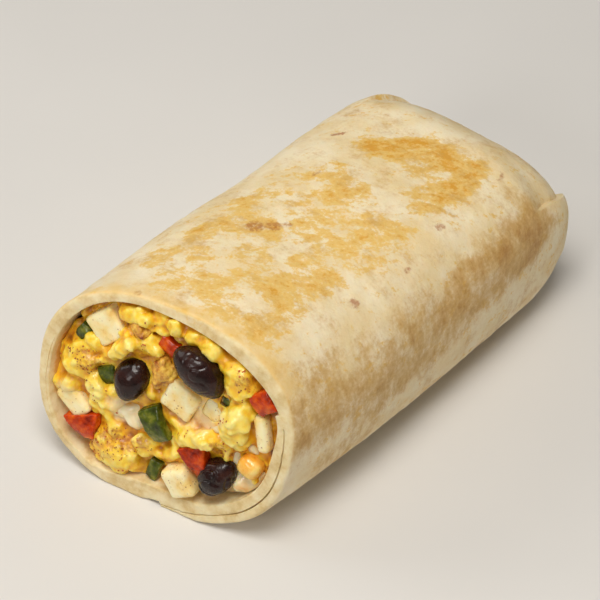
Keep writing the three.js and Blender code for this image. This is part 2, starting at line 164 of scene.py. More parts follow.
@dataclass(frozen=True)
class Roll:
    """The form of the rolled tortilla, in millimetres.

    Three sizes hold at the cut, half way and at the folded end, two at the cut and at the folded end. A
    fold is the angle of its edge, how far it reaches and which way round, and a thicker place is its angle,
    half its width and how much thicker it is, all in degrees and millimetres.
    """

    length: float = 105.0
    half_width: Triple = (29.0, 29.8, 27.2)
    height: Triple = (48.0, 43.4, 38.0)
    top_fullness: Pair = (2.3, 3.1)
    base_fullness: Pair = (2.35, 4.0)
    widest_line: Pair = (0.5, 0.55)
    base_pressed: float = 1.0
    base_edge: float = 0.6
    cut_lean: float = math.tan(math.radians(12.8))
    cut_skew: float = math.tan(math.radians(11.8))
    end_round: float = 17.7
    end_plan_fullness: float = 5.5
    end_side_fullness: float = 2.0
    end_pace: float = 0.8
    end_dimple: float = 2.5
    end_dimple_at: Pair = (0.86, 0.14)
    fold_step: float = 1.6
    fold_sharpness: float = 1.5
    fold_rise: float = 2.2
    folds: tuple[Triple, ...] = ((27, 62, -1), (133, 70, 1), (212, 60, 1), (305, 55, 1))
    sheet: float = 2.1
    flap_edge_sheet: float = 0.65
    gap: float = 0.25
    flap_edge: float = math.radians(-87)
    flap_lap: float = math.radians(110)
    inner_edge_share: float = 0.4
    inner_thins: float = math.radians(28)
    thicker: tuple[Triple, ...] = ((55, 55, 1.3), (160, 55, 1.0))
    flap_thins: float = math.radians(24)
    step_eases: float = math.radians(6)
    before_flap: float = math.radians(40)
    end_sheets: float = 4.6
    ripple_height: float = 0.22
    ripples: tuple[tuple[float, ...], ...] = ((1.0, 2, 0.09, 0.6), (0.7, 3, -0.13, 2.1))
    ripple_rests: Pair = (0.75, 0.6)
    ripple_end: Pair = (1.6, 0.6)
    waist: Triple = (0.9, -2.0, 24.0)
    waist_angle: float = math.radians(140)

    def cut_y(self, x: np.ndarray | float, z: np.ndarray | float) -> np.ndarray | float:
        """The y of the cut at a point of the section."""
        return -self.length / 2 + (z - self.height[0] / 2) * self.cut_lean + x * self.cut_skew

    def on_cut(self, x: float, z: float, out: float = 0.0) -> Vector:
        """A point at the cut, standing out of it by a distance along -Y."""
        return Vector((x, self.cut_y(x, z) - out, z))

    def facing(self) -> Matrix:
        """Turns a thing that faces -Y so that it faces out of the cut."""
        across = Vector((1.0, self.cut_skew, 0.0)).normalized()
        inward = Vector((-self.cut_skew, 1.0, -self.cut_lean)).normalized()
        return Matrix((across, inward, across.cross(inward))).transposed().to_4x4()

    def section(
        self,
        share: np.ndarray | float,
        angle: np.ndarray,
        depth: np.ndarray | float,
        scale_x: np.ndarray | float = 1.0,
        scale_z: np.ndarray | float = 1.0,
    ) -> tuple[np.ndarray, np.ndarray]:
        """The x and z of the roll's section.

        Args:
            share: Share of the roll's length.
            angle: Angle round the section, from +X towards +Z.
            depth: How far in from the skin.
            scale_x: How far the section has closed across.
            scale_z: How far it has closed in height.

        Returns:
            The x and the z values.
        """
        height = through(self.height, share)
        middle = height * between(self.widest_line, share)
        cosine, sine = np.cos(angle), np.sin(angle)
        fullness = np.where(sine > 0, between(self.top_fullness, share), between(self.base_fullness, share))
        reach = np.where(sine > 0, height - middle, middle + self.base_pressed) - depth
        x = (through(self.half_width, share) - depth) * np.sign(cosine) * np.abs(cosine) ** (2 / fullness)
        free = reach * np.sign(sine) * np.abs(sine) ** (2 / fullness) + middle - depth
        edge = self.base_edge
        pressed = np.where(free > edge, free, np.maximum(0, free + edge) ** 2 / (4 * edge))
        return x * scale_x, middle + (pressed + depth - middle) * scale_z

    def ripple(self, angle: np.ndarray, y: np.ndarray) -> np.ndarray:
        """A gentle unevenness of the skin, nil where it rests."""
        swell = 0.0
        for high, count, per_mm, start in self.ripples:
            swell = swell + high * np.sin(count * angle + per_mm * y + start)
        deep, at, half = self.waist
        waist = deep * np.exp(-(((y - at) / half) ** 2)) * np.maximum(0, np.cos(angle - self.waist_angle))
        sine, over = self.ripple_rests
        return (self.ripple_height * swell + waist) * eased((np.sin(angle) + sine) / over)

    def lowered(self, angle: np.ndarray, share: np.ndarray | float) -> np.ndarray:
        """How far the skin lies below its plain form, which fades out over the closed end."""
        end, over = self.ripple_end
        fade = np.where(share > 1, eased((end - share) / over), 1.0)
        return (self.step_in(angle) + self.ripple(angle, (share - 0.5) * self.length)) * fade

    def fold_dip(self, angle: np.ndarray, share: np.ndarray) -> np.ndarray:
        """How far the skin dips beside each fold's edge, on the closed end."""
        deepest = np.zeros_like(angle + share)
        for edge, reach, way in self.folds:
            past = turns_on(way * (math.radians(edge) - angle))
            deepest = np.maximum(deepest, 1 - past / math.radians(reach) + 0 * share)
        return self.fold_step * deepest**self.fold_sharpness * eased(share * self.fold_rise)

    def skin(
        self,
        angle: np.ndarray,
        share: np.ndarray | float,
        depth: np.ndarray | float,
        end_depth: float | None = None,
        folds: float = 0.0,
        back: np.ndarray | float = 0.0,
    ) -> Points:
        """Points of the skin, or of a surface a depth below it.

        Args:
            angle: Angles round the section, one to a column.
            share: From 0 at the cut to 1 where the end begins to close, on to 2 over the closed end.
            depth: Depth below the skin.
            end_depth: Depth at the closed end, if it differs.
            folds: How strongly the end's folds show.
            back: How far behind the cut the surface starts.

        Returns:
            An array of points, row by row.
        """
        angle, share, depth, back = np.broadcast_arrays(angle, share, depth, back)
        end_start = self.length / 2 - self.end_round
        x0, z0 = self.section(0.0, angle, depth)
        start = self.cut_y(x0, z0) + back
        run_y = start + (end_start - start) * np.minimum(share, 1)
        run_x, run_z = self.section(np.maximum(0, run_y / self.length + 0.5), angle, depth)
        eta = np.sin(np.clip(share - 1, 0, 1) * math.pi / 2) ** self.end_pace
        sunk = depth if end_depth is None else end_depth
        end_y = end_start + (self.end_round - sunk) * eta
        dip = folds * self.fold_dip(angle, eta)
        close_x = np.maximum(0, 1 - eta**self.end_plan_fullness) ** (1 / self.end_plan_fullness)
        close_z = np.maximum(0, 1 - eta**self.end_side_fullness) ** (1 / self.end_side_fullness)
        deeper = depth + dip * np.sqrt(np.maximum(0, 1 - eta * eta))
        end_x, end_z = self.section(end_y / self.length + 0.5, angle, deeper, close_x, close_z)
        from_middle, over = self.end_dimple_at
        end_y = end_y - dip * eta - folds * self.end_dimple * eased((eta - from_middle) / over)
        run = share <= 1
        chosen = [np.where(run, a, b) for a, b in ((run_x, end_x), (run_y, end_y), (run_z, end_z))]
        return np.stack(chosen, -1)

    def step_in(self, angle: np.ndarray) -> np.ndarray:
        """How far the outer layer eases in, just short of the flap's edge."""
        ahead = turns_on(self.flap_edge - angle)
        return (self.flap_edge_sheet + self.gap) * eased(1 - ahead / self.step_eases)

    def flap_thickness(self, past: np.ndarray) -> np.ndarray:
        """Thickness of the flap at an angle past its free edge."""
        return self.flap_edge_sheet + (self.sheet - self.flap_edge_sheet) * eased(past / self.flap_thins)

    def inner_angles(self, count: int, short: float = 0.6) -> np.ndarray:
        """Angles round the inside, from the inner edge on to so many degrees short of it again."""
        start = self.flap_edge + self.flap_lap
        return np.linspace(start, start + 2 * math.pi - math.radians(short), count)

    def wall(self, angle: np.ndarray) -> np.ndarray:
        """Depth of the inner wall below the skin."""
        past = turns_on(angle - self.flap_edge)
        edge = self.inner_edge_share
        under = edge + (1 - edge) * eased((self.flap_lap - past) / self.inner_thins)
        before = eased(1 - turns_on(self.flap_edge - angle) / self.before_flap)
        lapped = np.where(past < self.flap_lap, under, before)
        bulge = 0.0
        for at, half, more in self.thicker:
            off = np.abs(turns_on(angle - math.radians(at) + math.pi) - math.pi)
            bulge = bulge + more * eased(1 - off / math.radians(half))
        return self.sheet + (self.sheet + self.gap) * lapped + bulge

    def depth_of(self, points: Points) -> np.ndarray:
        """About how far each point lies below the skin."""
        x, y, z = points.T
        share = np.clip(y / self.length + 0.5, 0, 1)
        height = through(self.height, share)
        middle = height * between(self.widest_line, share)
        upper = z > middle
        fullness = np.where(upper, between(self.top_fullness, share), between(self.base_fullness, share))
        half = through(self.half_width, share)
        reach = np.where(upper, height - middle, middle + self.base_pressed)
        across, up = np.abs(x) / half, np.abs(z - middle) / reach
        ratio = (across**fullness + up**fullness) ** (1 / fullness)
        return (1 - ratio) * np.hypot(x, z - middle) / np.maximum(ratio, 0.05)


ROLL = Roll()


@dataclass(frozen=True)
class RowPlace:
    """Where the roll's own frame lies in the row frame."""

    shift: Vector

    @classmethod
    def from_frame(cls) -> "RowPlace":
        """Finds the shift that sets the roll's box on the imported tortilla's box."""
        angles = ROLL.flap_edge + np.radians(np.linspace(0, 359.7, 240))[None, :]
        shares = np.linspace(0, 1.97, 200)[:, None]
        rows = ROLL.skin(angles, shares, ROLL.lowered(angles, shares), end_depth=0.0, folds=1.0)
        skin = rows.reshape(-1, 3)
        low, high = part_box("tortilla")
        middle = (skin.min(0) + skin.max(0)) / 2 * MM
        place = (low + high) / 2
        return cls(Vector((place.x - middle[0], place.y - middle[1], 0.0)))


PLACE = RowPlace.from_frame()


def points_of(mesh: bpy.types.Mesh) -> Points:
    """A mesh's points, one to a row."""
    flat = np.empty(len(mesh.vertices) * 3, np.float32)
    mesh.vertices.foreach_get("co", flat)
    return flat.reshape(-1, 3).astype(float)


def set_points(mesh: bpy.types.Mesh, points: Points) -> None:
    """Moves a mesh's points."""
    mesh.vertices.foreach_set("co", points.astype(np.float32).ravel())
    mesh.update()


def normals_of(mesh: bpy.types.Mesh) -> Points:
    """A mesh's vertex normals, one to a row."""
    flat = np.empty(len(mesh.vertices) * 3, np.float32)
    mesh.vertex_normals.foreach_get("vector", flat)
    return flat.reshape(-1, 3).astype(float)


def evened(mesh: bpy.types.Mesh, values: np.ndarray, rounds: int) -> np.ndarray:
    """Values or points at the vertices, each drawn to the mean of its neighbours some rounds long."""
    pairs = np.empty(len(mesh.edges) * 2, np.int32)
    mesh.edges.foreach_get("vertices", pairs)
    one, other = pairs.reshape(-1, 2).T
    count = len(mesh.vertices)
    degree = np.maximum(np.bincount(one, minlength=count) + np.bincount(other, minlength=count), 1)
    columns = np.array(values, float).reshape(count, -1)
    for _ in range(rounds):
        for i in range(columns.shape[1]):
            held = columns[:, i]
            total = np.bincount(one, held[other], count) + np.bincount(other, held[one], count)
            columns[:, i] = 0.5 * held + 0.5 * total / degree
    return columns.reshape(np.shape(values))


def keep_values(mesh: bpy.types.Mesh, name: str, values: np.ndarray) -> None:
    """Stores one value for each vertex under a name that a finish reads."""
    attribute = mesh.attributes.new(name, "FLOAT", "POINT")
    attribute.data.foreach_set("value", values.astype(np.float32))


def mesh_from(bm: bmesh.types.BMesh, name: str) -> bpy.types.Mesh:
    """Turns a finished bmesh into a mesh and frees it."""
    mesh = bpy.data.meshes.new(name)
    bm.to_mesh(mesh)
    bm.free()
    return mesh


def wrapped(points: Points, name: str) -> bpy.types.Mesh:
    """A closed skin over rings of points.

    Args:
        points: Rings by points by 3. Each ring runs round the roll from +X towards +Z.
        name: The mesh's name.

    Returns:
        The mesh, whose ring ends are joined and whose first and last rings are filled.
    """
    rings, around = points.shape[:2]
    bm = bmesh.new()
    bmesh.ops.create_grid(bm, x_segments=around, y_segments=rings - 1, size=0.5)
    bm.verts.ensure_lookup_table()
    for vert in bm.verts:
        column = round((vert.co.x + 0.5) * around) % around
        row = round((vert.co.y + 0.5) * (rings - 1))
        vert.co = points[row, column]
    bmesh.ops.remove_doubles(bm, verts=bm.verts, dist=1e-5)
    bmesh.ops.holes_fill(bm, edges=[e for e in bm.edges if e.is_boundary], sides=0)
    bmesh.ops.recalc_face_normals(bm, faces=bm.faces)
    return mesh_from(bm, name)


class Cut(Enum):
    """What a boolean does with the other solid."""

    AWAY = "DIFFERENCE"
    WITHIN = "INTERSECT"


def baked(mesh: bpy.types.Mesh, add_modifiers: Callable[[bpy.types.Object], None]) -> bpy.types.Mesh:
    """A new mesh with modifiers applied.

    Args:
        mesh: The mesh to start from.
        add_modifiers: Called with the carrier object, to which it adds modifiers.

    Returns:
        The new mesh.
    """
    carrier = bpy.data.objects.new("carrier", mesh)
    bpy.context.scene.collection.objects.link(carrier)
    add_modifiers(carrier)
    graph = bpy.context.evaluated_depsgraph_get()
    made = bpy.data.meshes.new_from_object(carrier.evaluated_get(graph), depsgraph=graph)
    bpy.data.objects.remove(carrier)
    return made


def carved(mesh: bpy.types.Mesh, others: list[bpy.types.Mesh], cut: Cut) -> bpy.types.Mesh:
    """A mesh with other solids taken away from it, or kept only within them."""
    tools = [bpy.data.objects.new("tool", other) for other in others]
    for tool in tools:
        bpy.context.scene.collection.objects.link(tool)

    def add(carrier: bpy.types.Object) -> None:
        """Adds one boolean for each tool."""
        for tool in tools:
            boolean = carrier.modifiers.new("cut", "BOOLEAN")
            boolean.operation = cut.value
            boolean.solver = "MANIFOLD"
            boolean.object = tool

    made = baked(mesh, add)
    for tool in tools:
        bpy.data.objects.remove(tool)
    return made


def remeshed(mesh: bpy.types.Mesh, voxel: float) -> bpy.types.Mesh:
    """A mesh's outer surface made anew in even faces of a given size."""

    def add(carrier: bpy.types.Object) -> None:
        """Adds the remesh."""
        remesh = carrier.modifiers.new("even faces", "REMESH")
        remesh.mode = "VOXEL"
        remesh.voxel_size = voxel
        remesh.adaptivity = 0.0

    return baked(mesh, add)


def finished(
    name: str, mesh: bpy.types.Mesh, finish: "Finish", nodes: list[str]
) -> bpy.types.Object:
    """Sets a mesh in the row frame as a piece of the burrito.

    Args:
        name: The piece's name.
        mesh: Its mesh, in millimetres in the roll's frame.
        finish: Its finish.
        nodes: The CAD nodes that it stands for.

    Returns:
        The piece.
    """
    set_points(mesh, points_of(mesh) * MM + np.array(PLACE.shift))
    mesh.name = f"dressed_{name}"
    mesh.materials.clear()
    mesh.materials.append(finish.material())
    for polygon in mesh.polygons:
        polygon.use_smooth = True
    piece = bpy.data.objects.new(f"dressed_{name}", mesh)
    bpy.context.scene.collection.objects.link(piece)
    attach(piece, BODY)
    if nodes:
        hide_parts(*nodes)
    log.info("%s: %d faces", name, len(mesh.polygons))
    return piece


class Wiring:
    """A node tree whose nodes are added and joined in short calls."""

    def __init__(self, tree: bpy.types.NodeTree) -> None:
        """Starts on a tree."""
        self.tree = tree

    def _feed(self, socket: Socket, value: Value | tuple[float, ...]) -> None:
        """Joins a socket to a socket, or sets its value."""
        if isinstance(value, Socket):
            self.tree.links.new(value, socket)
        else:
            socket.default_value = value

    def _node(self, kind: str, values: dict[str, Value]) -> bpy.types.Node:
        """Adds a node and feeds its inputs by name."""
        node = self.tree.nodes.new(kind)
        for name, value in values.items():
            self._feed(node.inputs[name], value)
        return node

    def noisy(
        self, place: Socket, scale: Value, detail: Value, rough: Value = 0.55, warp: Value = 0.0
    ) -> Socket:
        """Soft noise at a place, from 0 to 1 with its mean near 0.5."""
        values = {"Vector": place, "Scale": scale, "Detail": detail, "Roughness": rough, "Distortion": warp}
        return self._node("ShaderNodeTexNoise", values).outputs["Fac"]

    def math(self, operation: str, one: Value, other: Value) -> Socket:
        """A sum on two values."""
        node = self.tree.nodes.new("ShaderNodeMath")
        node.operation = operation
        self._feed(node.inputs[0], one)
        self._feed(node.inputs[1], other)
        return node.outputs[0]

    def step(self, value: Value, low: Value, high: Value, least: Value = 0.0, most: Value = 1.0) -> Socket:
        """A smooth step from least to most as a value goes from low to high."""
        values = {"Value": value, "From Min": low, "From Max": high, "To Min": least, "To Max": most}
        node = self._node("ShaderNodeMapRange", values)
        node.interpolation_type = "SMOOTHSTEP"
        return node.outputs["Result"]


class SharedEffect(Wiring):
    """An effect that several finishes use, as a shader node group built once."""

    def __init__(self, name: str, takes: tuple[str, ...], gives: tuple[str, ...]) -> None:
        """Starts a group that takes a place and some values, and gives others."""
        super().__init__(bpy.data.node_groups.new(name, "ShaderNodeTree"))
        sockets = self.tree.interface
        sockets.new_socket("Place", in_out="INPUT", socket_type="NodeSocketVector")
        for taken in takes:
            sockets.new_socket(taken, in_out="INPUT", socket_type="NodeSocketFloat")
        for given in gives:
            sockets.new_socket(given, in_out="OUTPUT", socket_type="NodeSocketFloat")
        self.start = self.tree.nodes.new("NodeGroupInput")
        self.end = self.tree.nodes.new("NodeGroupOutput")

    def take(self, name: str) -> Socket:
        """One of the values that the group takes."""
        return self.start.outputs[name]

    def give(self, name: str, value: Socket) -> None:
        """Puts a value out of the group."""
        self.tree.links.new(value, self.end.inputs[name])


def uneven_gloss(name: str) -> bpy.types.NodeTree:
    """Builds the effect by which a roughness drifts between two values."""
    effect = SharedEffect(name, ("Scale", "Detail", "Least", "Most"), ("Roughness",))
    noisy = effect.noisy(effect.take("Place"), effect.take("Scale"), effect.take("Detail"))
    effect.give("Roughness", effect.step(noisy, 0.3, 0.7, effect.take("Least"), effect.take("Most")))
    return effect.tree


def ragged_mark(name: str) -> bpy.types.NodeTree:
    """Builds the effect by which noise breaks up the edge of a mark, and a mask is made of it."""
    takes = ("Mark", "Scale", "Detail", "Rough", "Ragged", "From", "To", "Share")
    effect = SharedEffect(name, takes, ("Value", "Mask"))
    noisy = effect.noisy(*(effect.take(taken) for taken in ("Place", "Scale", "Detail", "Rough")))
    moved = effect.math("MULTIPLY", effect.math("SUBTRACT", noisy, 0.5), effect.take("Ragged"))
    value = effect.math("ADD", effect.take("Mark"), moved)
    effect.give("Value", value)
    low, high, most = (effect.take(taken) for taken in ("From", "To", "Share"))
    effect.give("Mask", effect.step(value, low, high, 0.0, most))
    return effect.tree


class Board(Wiring):
    """A material's nodes. Lengths in it are in millimetres."""

    def __init__(self, name: str) -> None:
        """Starts a material of that name with one shader."""
        self.material = bpy.data.materials.new(f"dressed_{name}")
        self.material.use_nodes = True
        super().__init__(self.material.node_tree)
        self.shader = self.tree.nodes["Principled BSDF"]
        self.place = self._place()

    def _place(self) -> Socket:
        """The piece's own coordinates, in millimetres."""
        coordinates = self.tree.nodes.new("ShaderNodeTexCoord")
        scaled = self.tree.nodes.new("ShaderNodeVectorMath")
        scaled.operation = "SCALE"
        scaled.inputs["Scale"].default_value = 1 / MM
        self.tree.links.new(coordinates.outputs["Object"], scaled.inputs[0])
        return scaled.outputs[0]

    def stretched(self, longer: Triple, turn: float = 0.0) -> Socket:
        """Coordinates in which patterns are drawn out along each axis.

        Args:
            longer: How many times longer along each axis.
            turn: How far the axes are turned about Z, in degrees.

        Returns:
            The coordinates.
        """
        mapping = self.tree.nodes.new("ShaderNodeMapping")
        mapping.vector_type = "TEXTURE"
        mapping.inputs["Scale"].default_value = longer
        mapping.inputs["Rotation"].default_value[2] = math.radians(turn)
        self.tree.links.new(self.place, mapping.inputs["Vector"])
        return mapping.outputs["Vector"]

    def clouds(
        self,
        size: float,
        detail: float = 3.0,
        rough: float = 0.55,
        warp: float = 0.0,
        at: Socket | None = None,
    ) -> Socket:
        """Soft noise with swells of about a size, from 0 to 1 with its mean near 0.5."""
        return self.noisy(at or self.place, 1 / size, detail, rough, warp)

    def cells(self, size: float) -> Socket:
        """Distance from the nearest of many scattered points, about a size apart."""
        node = self._node("ShaderNodeTexVoronoi", {"Vector": self.place, "Scale": 1 / size})
        return node.outputs["Distance"]

    def shared(
        self, effect: Callable[[str], bpy.types.NodeTree], values: dict[str, Value]
    ) -> bpy.types.Node:
        """Places a shared effect, built at its first use, with values of this material's own."""
        name = f"dressed_{effect.__name__}"
        tree = bpy.data.node_groups.get(name) or effect(name)
        node = self.tree.nodes.new("ShaderNodeGroup")
        node.node_tree = tree
        for socket, value in {"Place": self.place, **values}.items():
            self._feed(node.inputs[socket], value)
        return node

    def gloss(self, size: float, detail: float, least: float, most: float) -> Socket:
        """A roughness that drifts between two values in swells of about a size."""
        values = {"Scale": 1 / size, "Detail": detail, "Least": least, "Most": most}
        return self.shared(uneven_gloss, values).outputs["Roughness"]

    def ragged(self, name: str, noise_of: Triple, ragged: float, step: Triple) -> tuple[Socket, Socket]:
        """A mark kept on the mesh, with its edge broken up.

        Args:
            name: The mark's name on the mesh.
            noise_of: The noise's size, detail and roughness.
            ragged: How strongly the noise breaks up the edge.
            step: The value where the mask starts, the one where it is fullest, and how full that is.

        Returns:
            The broken mark and its mask.
        """
        size, detail, rough = noise_of
        low, high, most = step
        values = {"Mark": self.value(name), "Scale": 1 / size, "Detail": detail, "Rough": rough}
        values |= {"Ragged": ragged, "From": low, "To": high, "Share": most}
        node = self.shared(ragged_mark, values)
        return node.outputs["Value"], node.outputs["Mask"]

    def value(self, name: str) -> Socket:
        """A value kept on the mesh."""
        node = self.tree.nodes.new("ShaderNodeAttribute")
        node.attribute_name = name
        return node.outputs["Fac"]

    def mixture(self, *shares: tuple[Socket, float]) -> Value:
        """Noises that lie round 0.5, brought round 0, each with its own strength, and summed."""
        total = 0.0
        for noisy, strength in shares:
            stronger = self.math("MULTIPLY", self.math("SUBTRACT", noisy, 0.5), strength)
            total = self.math("ADD", total, stronger)
        return total

    def blend(self, share: Value, one: Color, other: Color) -> Socket:
        """A colour between two, by a share. A colour is a hex code or a socket."""
        node = self.tree.nodes.new("ShaderNodeMix")
        node.data_type = "RGBA"
        self._feed(node.inputs["Factor"], share)
        for socket, color in ((node.inputs[MIX_FIRST_COLOR], one), (node.inputs[MIX_OTHER_COLOR], other)):
            self._feed(socket, linear(color) if isinstance(color, str) else color)
        return node.outputs[MIX_COLOR]

    def over(self, under: Color, tone: Color, value: Value, step: Triple) -> Socket:
        """A tone laid over another where a value is high.

        Args:
            under: The colour beneath.
            tone: The colour laid over it.
            value: Says where.
            step: The value where the tone starts, the one where it is fullest, and its share there.

        Returns:
            The colour.
        """
        low, high, most = step
        return self.blend(self.step(value, low, high, 0, most), under, tone)

    def tones(self, value: Value, *stops: tuple[float, str]) -> Socket:
        """A colour from a run of tones, each a place from 0 to 1 and a hex code."""
        node = self.tree.nodes.new("ShaderNodeValToRGB")
        elements = node.color_ramp.elements
        while len(elements) < len(stops):
            elements.new(0.5)
        for element, (place, code) in zip(elements, stops):
            element.position = place
            element.color = linear(code)
        self._feed(node.inputs["Fac"], value)
        return node.outputs["Color"]

    def relief(self, height: Socket, depth: float, strength: float, over: Socket | None = None) -> Socket:
        """A bump of a depth in millimetres, over another if one is given."""
        node = self.tree.nodes.new("ShaderNodeBump")
        node.inputs["Strength"].default_value = strength
        node.inputs["Distance"].default_value = depth * MM
        self._feed(node.inputs["Height"], height)
        if over is not None:
            self.tree.links.new(over, node.inputs["Normal"])
        return node.outputs["Normal"]

    def finish(
        self, color: Socket, roughness: Value, normal: Socket | None = None, **settings: float | Triple
    ) -> bpy.types.Material:
        """Feeds the shader.

        Args:
            color: The base colour.
            roughness: A socket or a number.
            normal: A bump's normal, if there is one.
            settings: Values of the shader's other sockets, with _ for a space.

        Returns:
            The material.
        """
        self._feed(self.shader.inputs["Base Color"], color)
        self._feed(self.shader.inputs["Roughness"], roughness)
        if normal is not None:
            self.tree.links.new(normal, self.shader.inputs["Normal"])
        for name, number in settings.items():
            self.shader.inputs[name.replace("_", " ")].default_value = number
        return self.material


@dataclass(frozen=True)
class Finish:
    """A finish that several pieces may share."""

    name: str = "plain"

    def material(self) -> bpy.types.Material:
        """The finish's material, made at its first use."""
        return bpy.data.materials.get(f"dressed_{self.name}") or self.made()

    def made(self) -> bpy.types.Material:
        """Makes the material."""
        raise NotImplementedError


@dataclass(frozen=True)
class ToastedTortilla(Finish):
    """Pale flour tortilla with golden toasted patches and a browned side."""

    name: str = "toasted_tortilla"
    cream: str = "ebd3a1"
    pale: str = "f3e3bf"
    golden: str = "e8bf66"
    deep_golden: str = "dc9f33"
    side_brown: str = "cda158"
    dark_brown: str = "b17d3b"
    spot: str = "a3521a"
    wall: str = "e3cd9a"
    wall_pale: str = "eedfb6"
    wall_deep: str = "d3b67c"
    oil: str = "dc9a33"
    grain_turn: float = 41.0

    def made(self) -> bpy.types.Material:
        """Makes the material."""
        b = Board(self.name)
        dough = b.blend(b.step(b.clouds(9, 5, 0.6), 0.35, 0.65), self.cream, self.pale)
        along = b.stretched((1.5, 1.0, 1.0), self.grain_turn)
        coarse, fine = b.clouds(2.2, 5, 0.66, 0.3, along), b.clouds(0.7, 4, 0.66)
        lace = b.mixture((coarse, 4.4), (fine, 2.0), (b.clouds(8, 2), 1.8))
        toast = b.math("ADD", b.math("MULTIPLY", b.value("toast"), 1.28), lace)
        color = b.over(dough, self.golden, toast, (0.25, 1.1, 0.9))
        color = b.over(color, self.deep_golden, toast, (1.1, 2.1, 0.95))
        streaks = b.clouds(1.4, 4, 0.6, 0.3, b.stretched((2.0, 1.0, 3.4)))
        mottle = b.mixture((streaks, 1.0), (b.clouds(6, 5, 0.6), 2.6), (b.clouds(0.8, 4, 0.65), 1.0))
        side = b.math("ADD", b.value("side"), mottle)
        color = b.over(color, self.side_brown, side, (-0.1, 1.0, 0.85))
        color = b.over(color, self.dark_brown, side, (0.7, 1.6, 0.8))
        _, spots = b.ragged("spots", (0.9, 4, 0.65), 2.2, (0.2, 1.1, 0.66))
        color = b.blend(spots, color, self.spot)
        _, near_cut = b.ragged("near_cut", (4, 4, 0.6), 1.6, (0.3, 1.15, 0.65))
        color = b.blend(near_cut, color, self.golden)
        crumb = b.clouds(3.4, 5, 0.62)
        wall = b.tones(crumb, (0.34, self.wall_deep), (0.48, self.wall), (0.66, self.wall_pale))
        color = b.blend(b.value("inside"), color, wall)
        oily, oil = b.ragged("oil", (2.2, 4, 0.55), 0.9, (0.3, 0.9, 0.75))
        color = b.blend(oil, color, self.oil)
        rough = b.step(oily, 0.2, 0.7, 0.58, 0.25)
        bumps = b.relief(b.clouds(2.4, 4, 0.6), 0.35, 0.5)
        bumps = b.relief(b.clouds(0.55, 3, 0.6), 0.06, 0.5, bumps)
        return b.finish(
            color,
            rough,
            bumps,
            Subsurface_Weight=0.3,
            Subsurface_Radius=(1.0, 0.7, 0.4),
            Subsurface_Scale=0.002,
            Specular_IOR_Level=0.35,
        )


@dataclass(frozen=True)
class ScrambledEgg(Finish):
    """Moist scrambled egg with painted shade in its hollows and painted highlights on its tips, and
    seasoned brown in places.
    """

    name: str = "scrambled_egg"
    # The shade and hollow tones are painted shade in the egg's crevices; the light and tip tones are
    # painted highlight on its raised tips.
    shade: str = "7c450c"
    hollow: str = "cb8214"
    yolk: str = "f0b220"
    light: str = "fbd238"
    tip: str = "ffea84"
    cheese: str = "f3dcae"
    seasoning: str = "9c4a14"

    def made(self) -> bpy.types.Material:
        """Makes the material."""
        b = Board(self.name)
        drift = b.mixture((b.clouds(3.5, 3), 0.8))
        # Painted shade and highlight: the tone follows how far each point rises above those round it and
        # out of the cut.
        tone = b.math("ADD", b.math("ADD", b.value("rise_shade_and_highlight"), drift), b.value("paler"))
        hollow_shade_tones = ((0.0, self.shade), (0.2, self.hollow))
        color = b.tones(tone, *hollow_shade_tones, (0.42, self.yolk), (0.62, self.light), (0.95, self.tip))
        _, cheesy = b.ragged("cheesy", (2.4, 4, 0.6), 1.5, (0.35, 1.0, 0.8))
        color = b.blend(cheesy, color, self.cheese)
        _, dusted = b.ragged("seasoned", (1.2, 4, 0.7), 1.9, (0.45, 1.1, 0.7))
        color = b.blend(dusted, color, self.seasoning)
        rough = b.gloss(2, 3, 0.28, 0.46)
        bumps = b.relief(b.clouds(1.1, 4, 0.62), 0.3, 0.6)
        bumps = b.relief(b.cells(0.5), -0.08, 0.4, bumps)
        return b.finish(
            color,
            rough,
            bumps,
            Subsurface_Weight=0.3,
            Subsurface_Radius=(1.0, 0.6, 0.12),
            Subsurface_Scale=0.0012,
            Coat_Weight=0.3,
            Coat_Roughness=0.14,
        )


@dataclass(frozen=True)
class MeltedCheese(Finish):
    """Smooth melted cheese with an oily orange tinge."""

    name: str = "melted_cheese"
    cream: str = "f3dba6"
    pale: str = "f9ecca"
    orange: str = "eaa949"

    def made(self) -> bpy.types.Material:
        """Makes the material."""
        b = Board(self.name)
        swirls = b.clouds(4.5, 3, 0.5, 0.6)
        color = b.tones(swirls, (0.3, self.orange), (0.48, self.cream), (0.68, self.pale))
        rough = b.gloss(3, 2, 0.16, 0.3)
        bumps = b.relief(b.clouds(1.8, 2), 0.2, 0.4)
        return b.finish(
            color,
            rough,
            bumps,
            Subsurface_Weight=0.4,
            Subsurface_Radius=(1.0, 0.65, 0.3),
            Subsurface_Scale=0.002,
            Coat_Weight=0.4,
            Coat_Roughness=0.1,
        )


@dataclass(frozen=True)
class BeanSkin(Finish):
    """Glossy, dark purple-brown bean skin."""

    name: str = "bean_skin"
    dark: str = "140603"
    plum: str = "2b110b"
    dusty: str = "4a281b"

    def made(self) -> bpy.types.Material:
        """Makes the material."""
        b = Board(self.name)
        color = b.tones(b.clouds(3, 4, 0.6), (0.3, self.dark), (0.58, self.plum), (0.85, self.dusty))
        rough = b.step(b.clouds(1.2, 4), 0.35, 0.7, 0.22, 0.4)
        bumps = b.relief(b.clouds(1.1, 4, 0.62), 0.2, 0.55)
        return b.finish(color, rough, bumps, Coat_Weight=0.3, Coat_Roughness=0.05, Specular_IOR_Level=0.22)


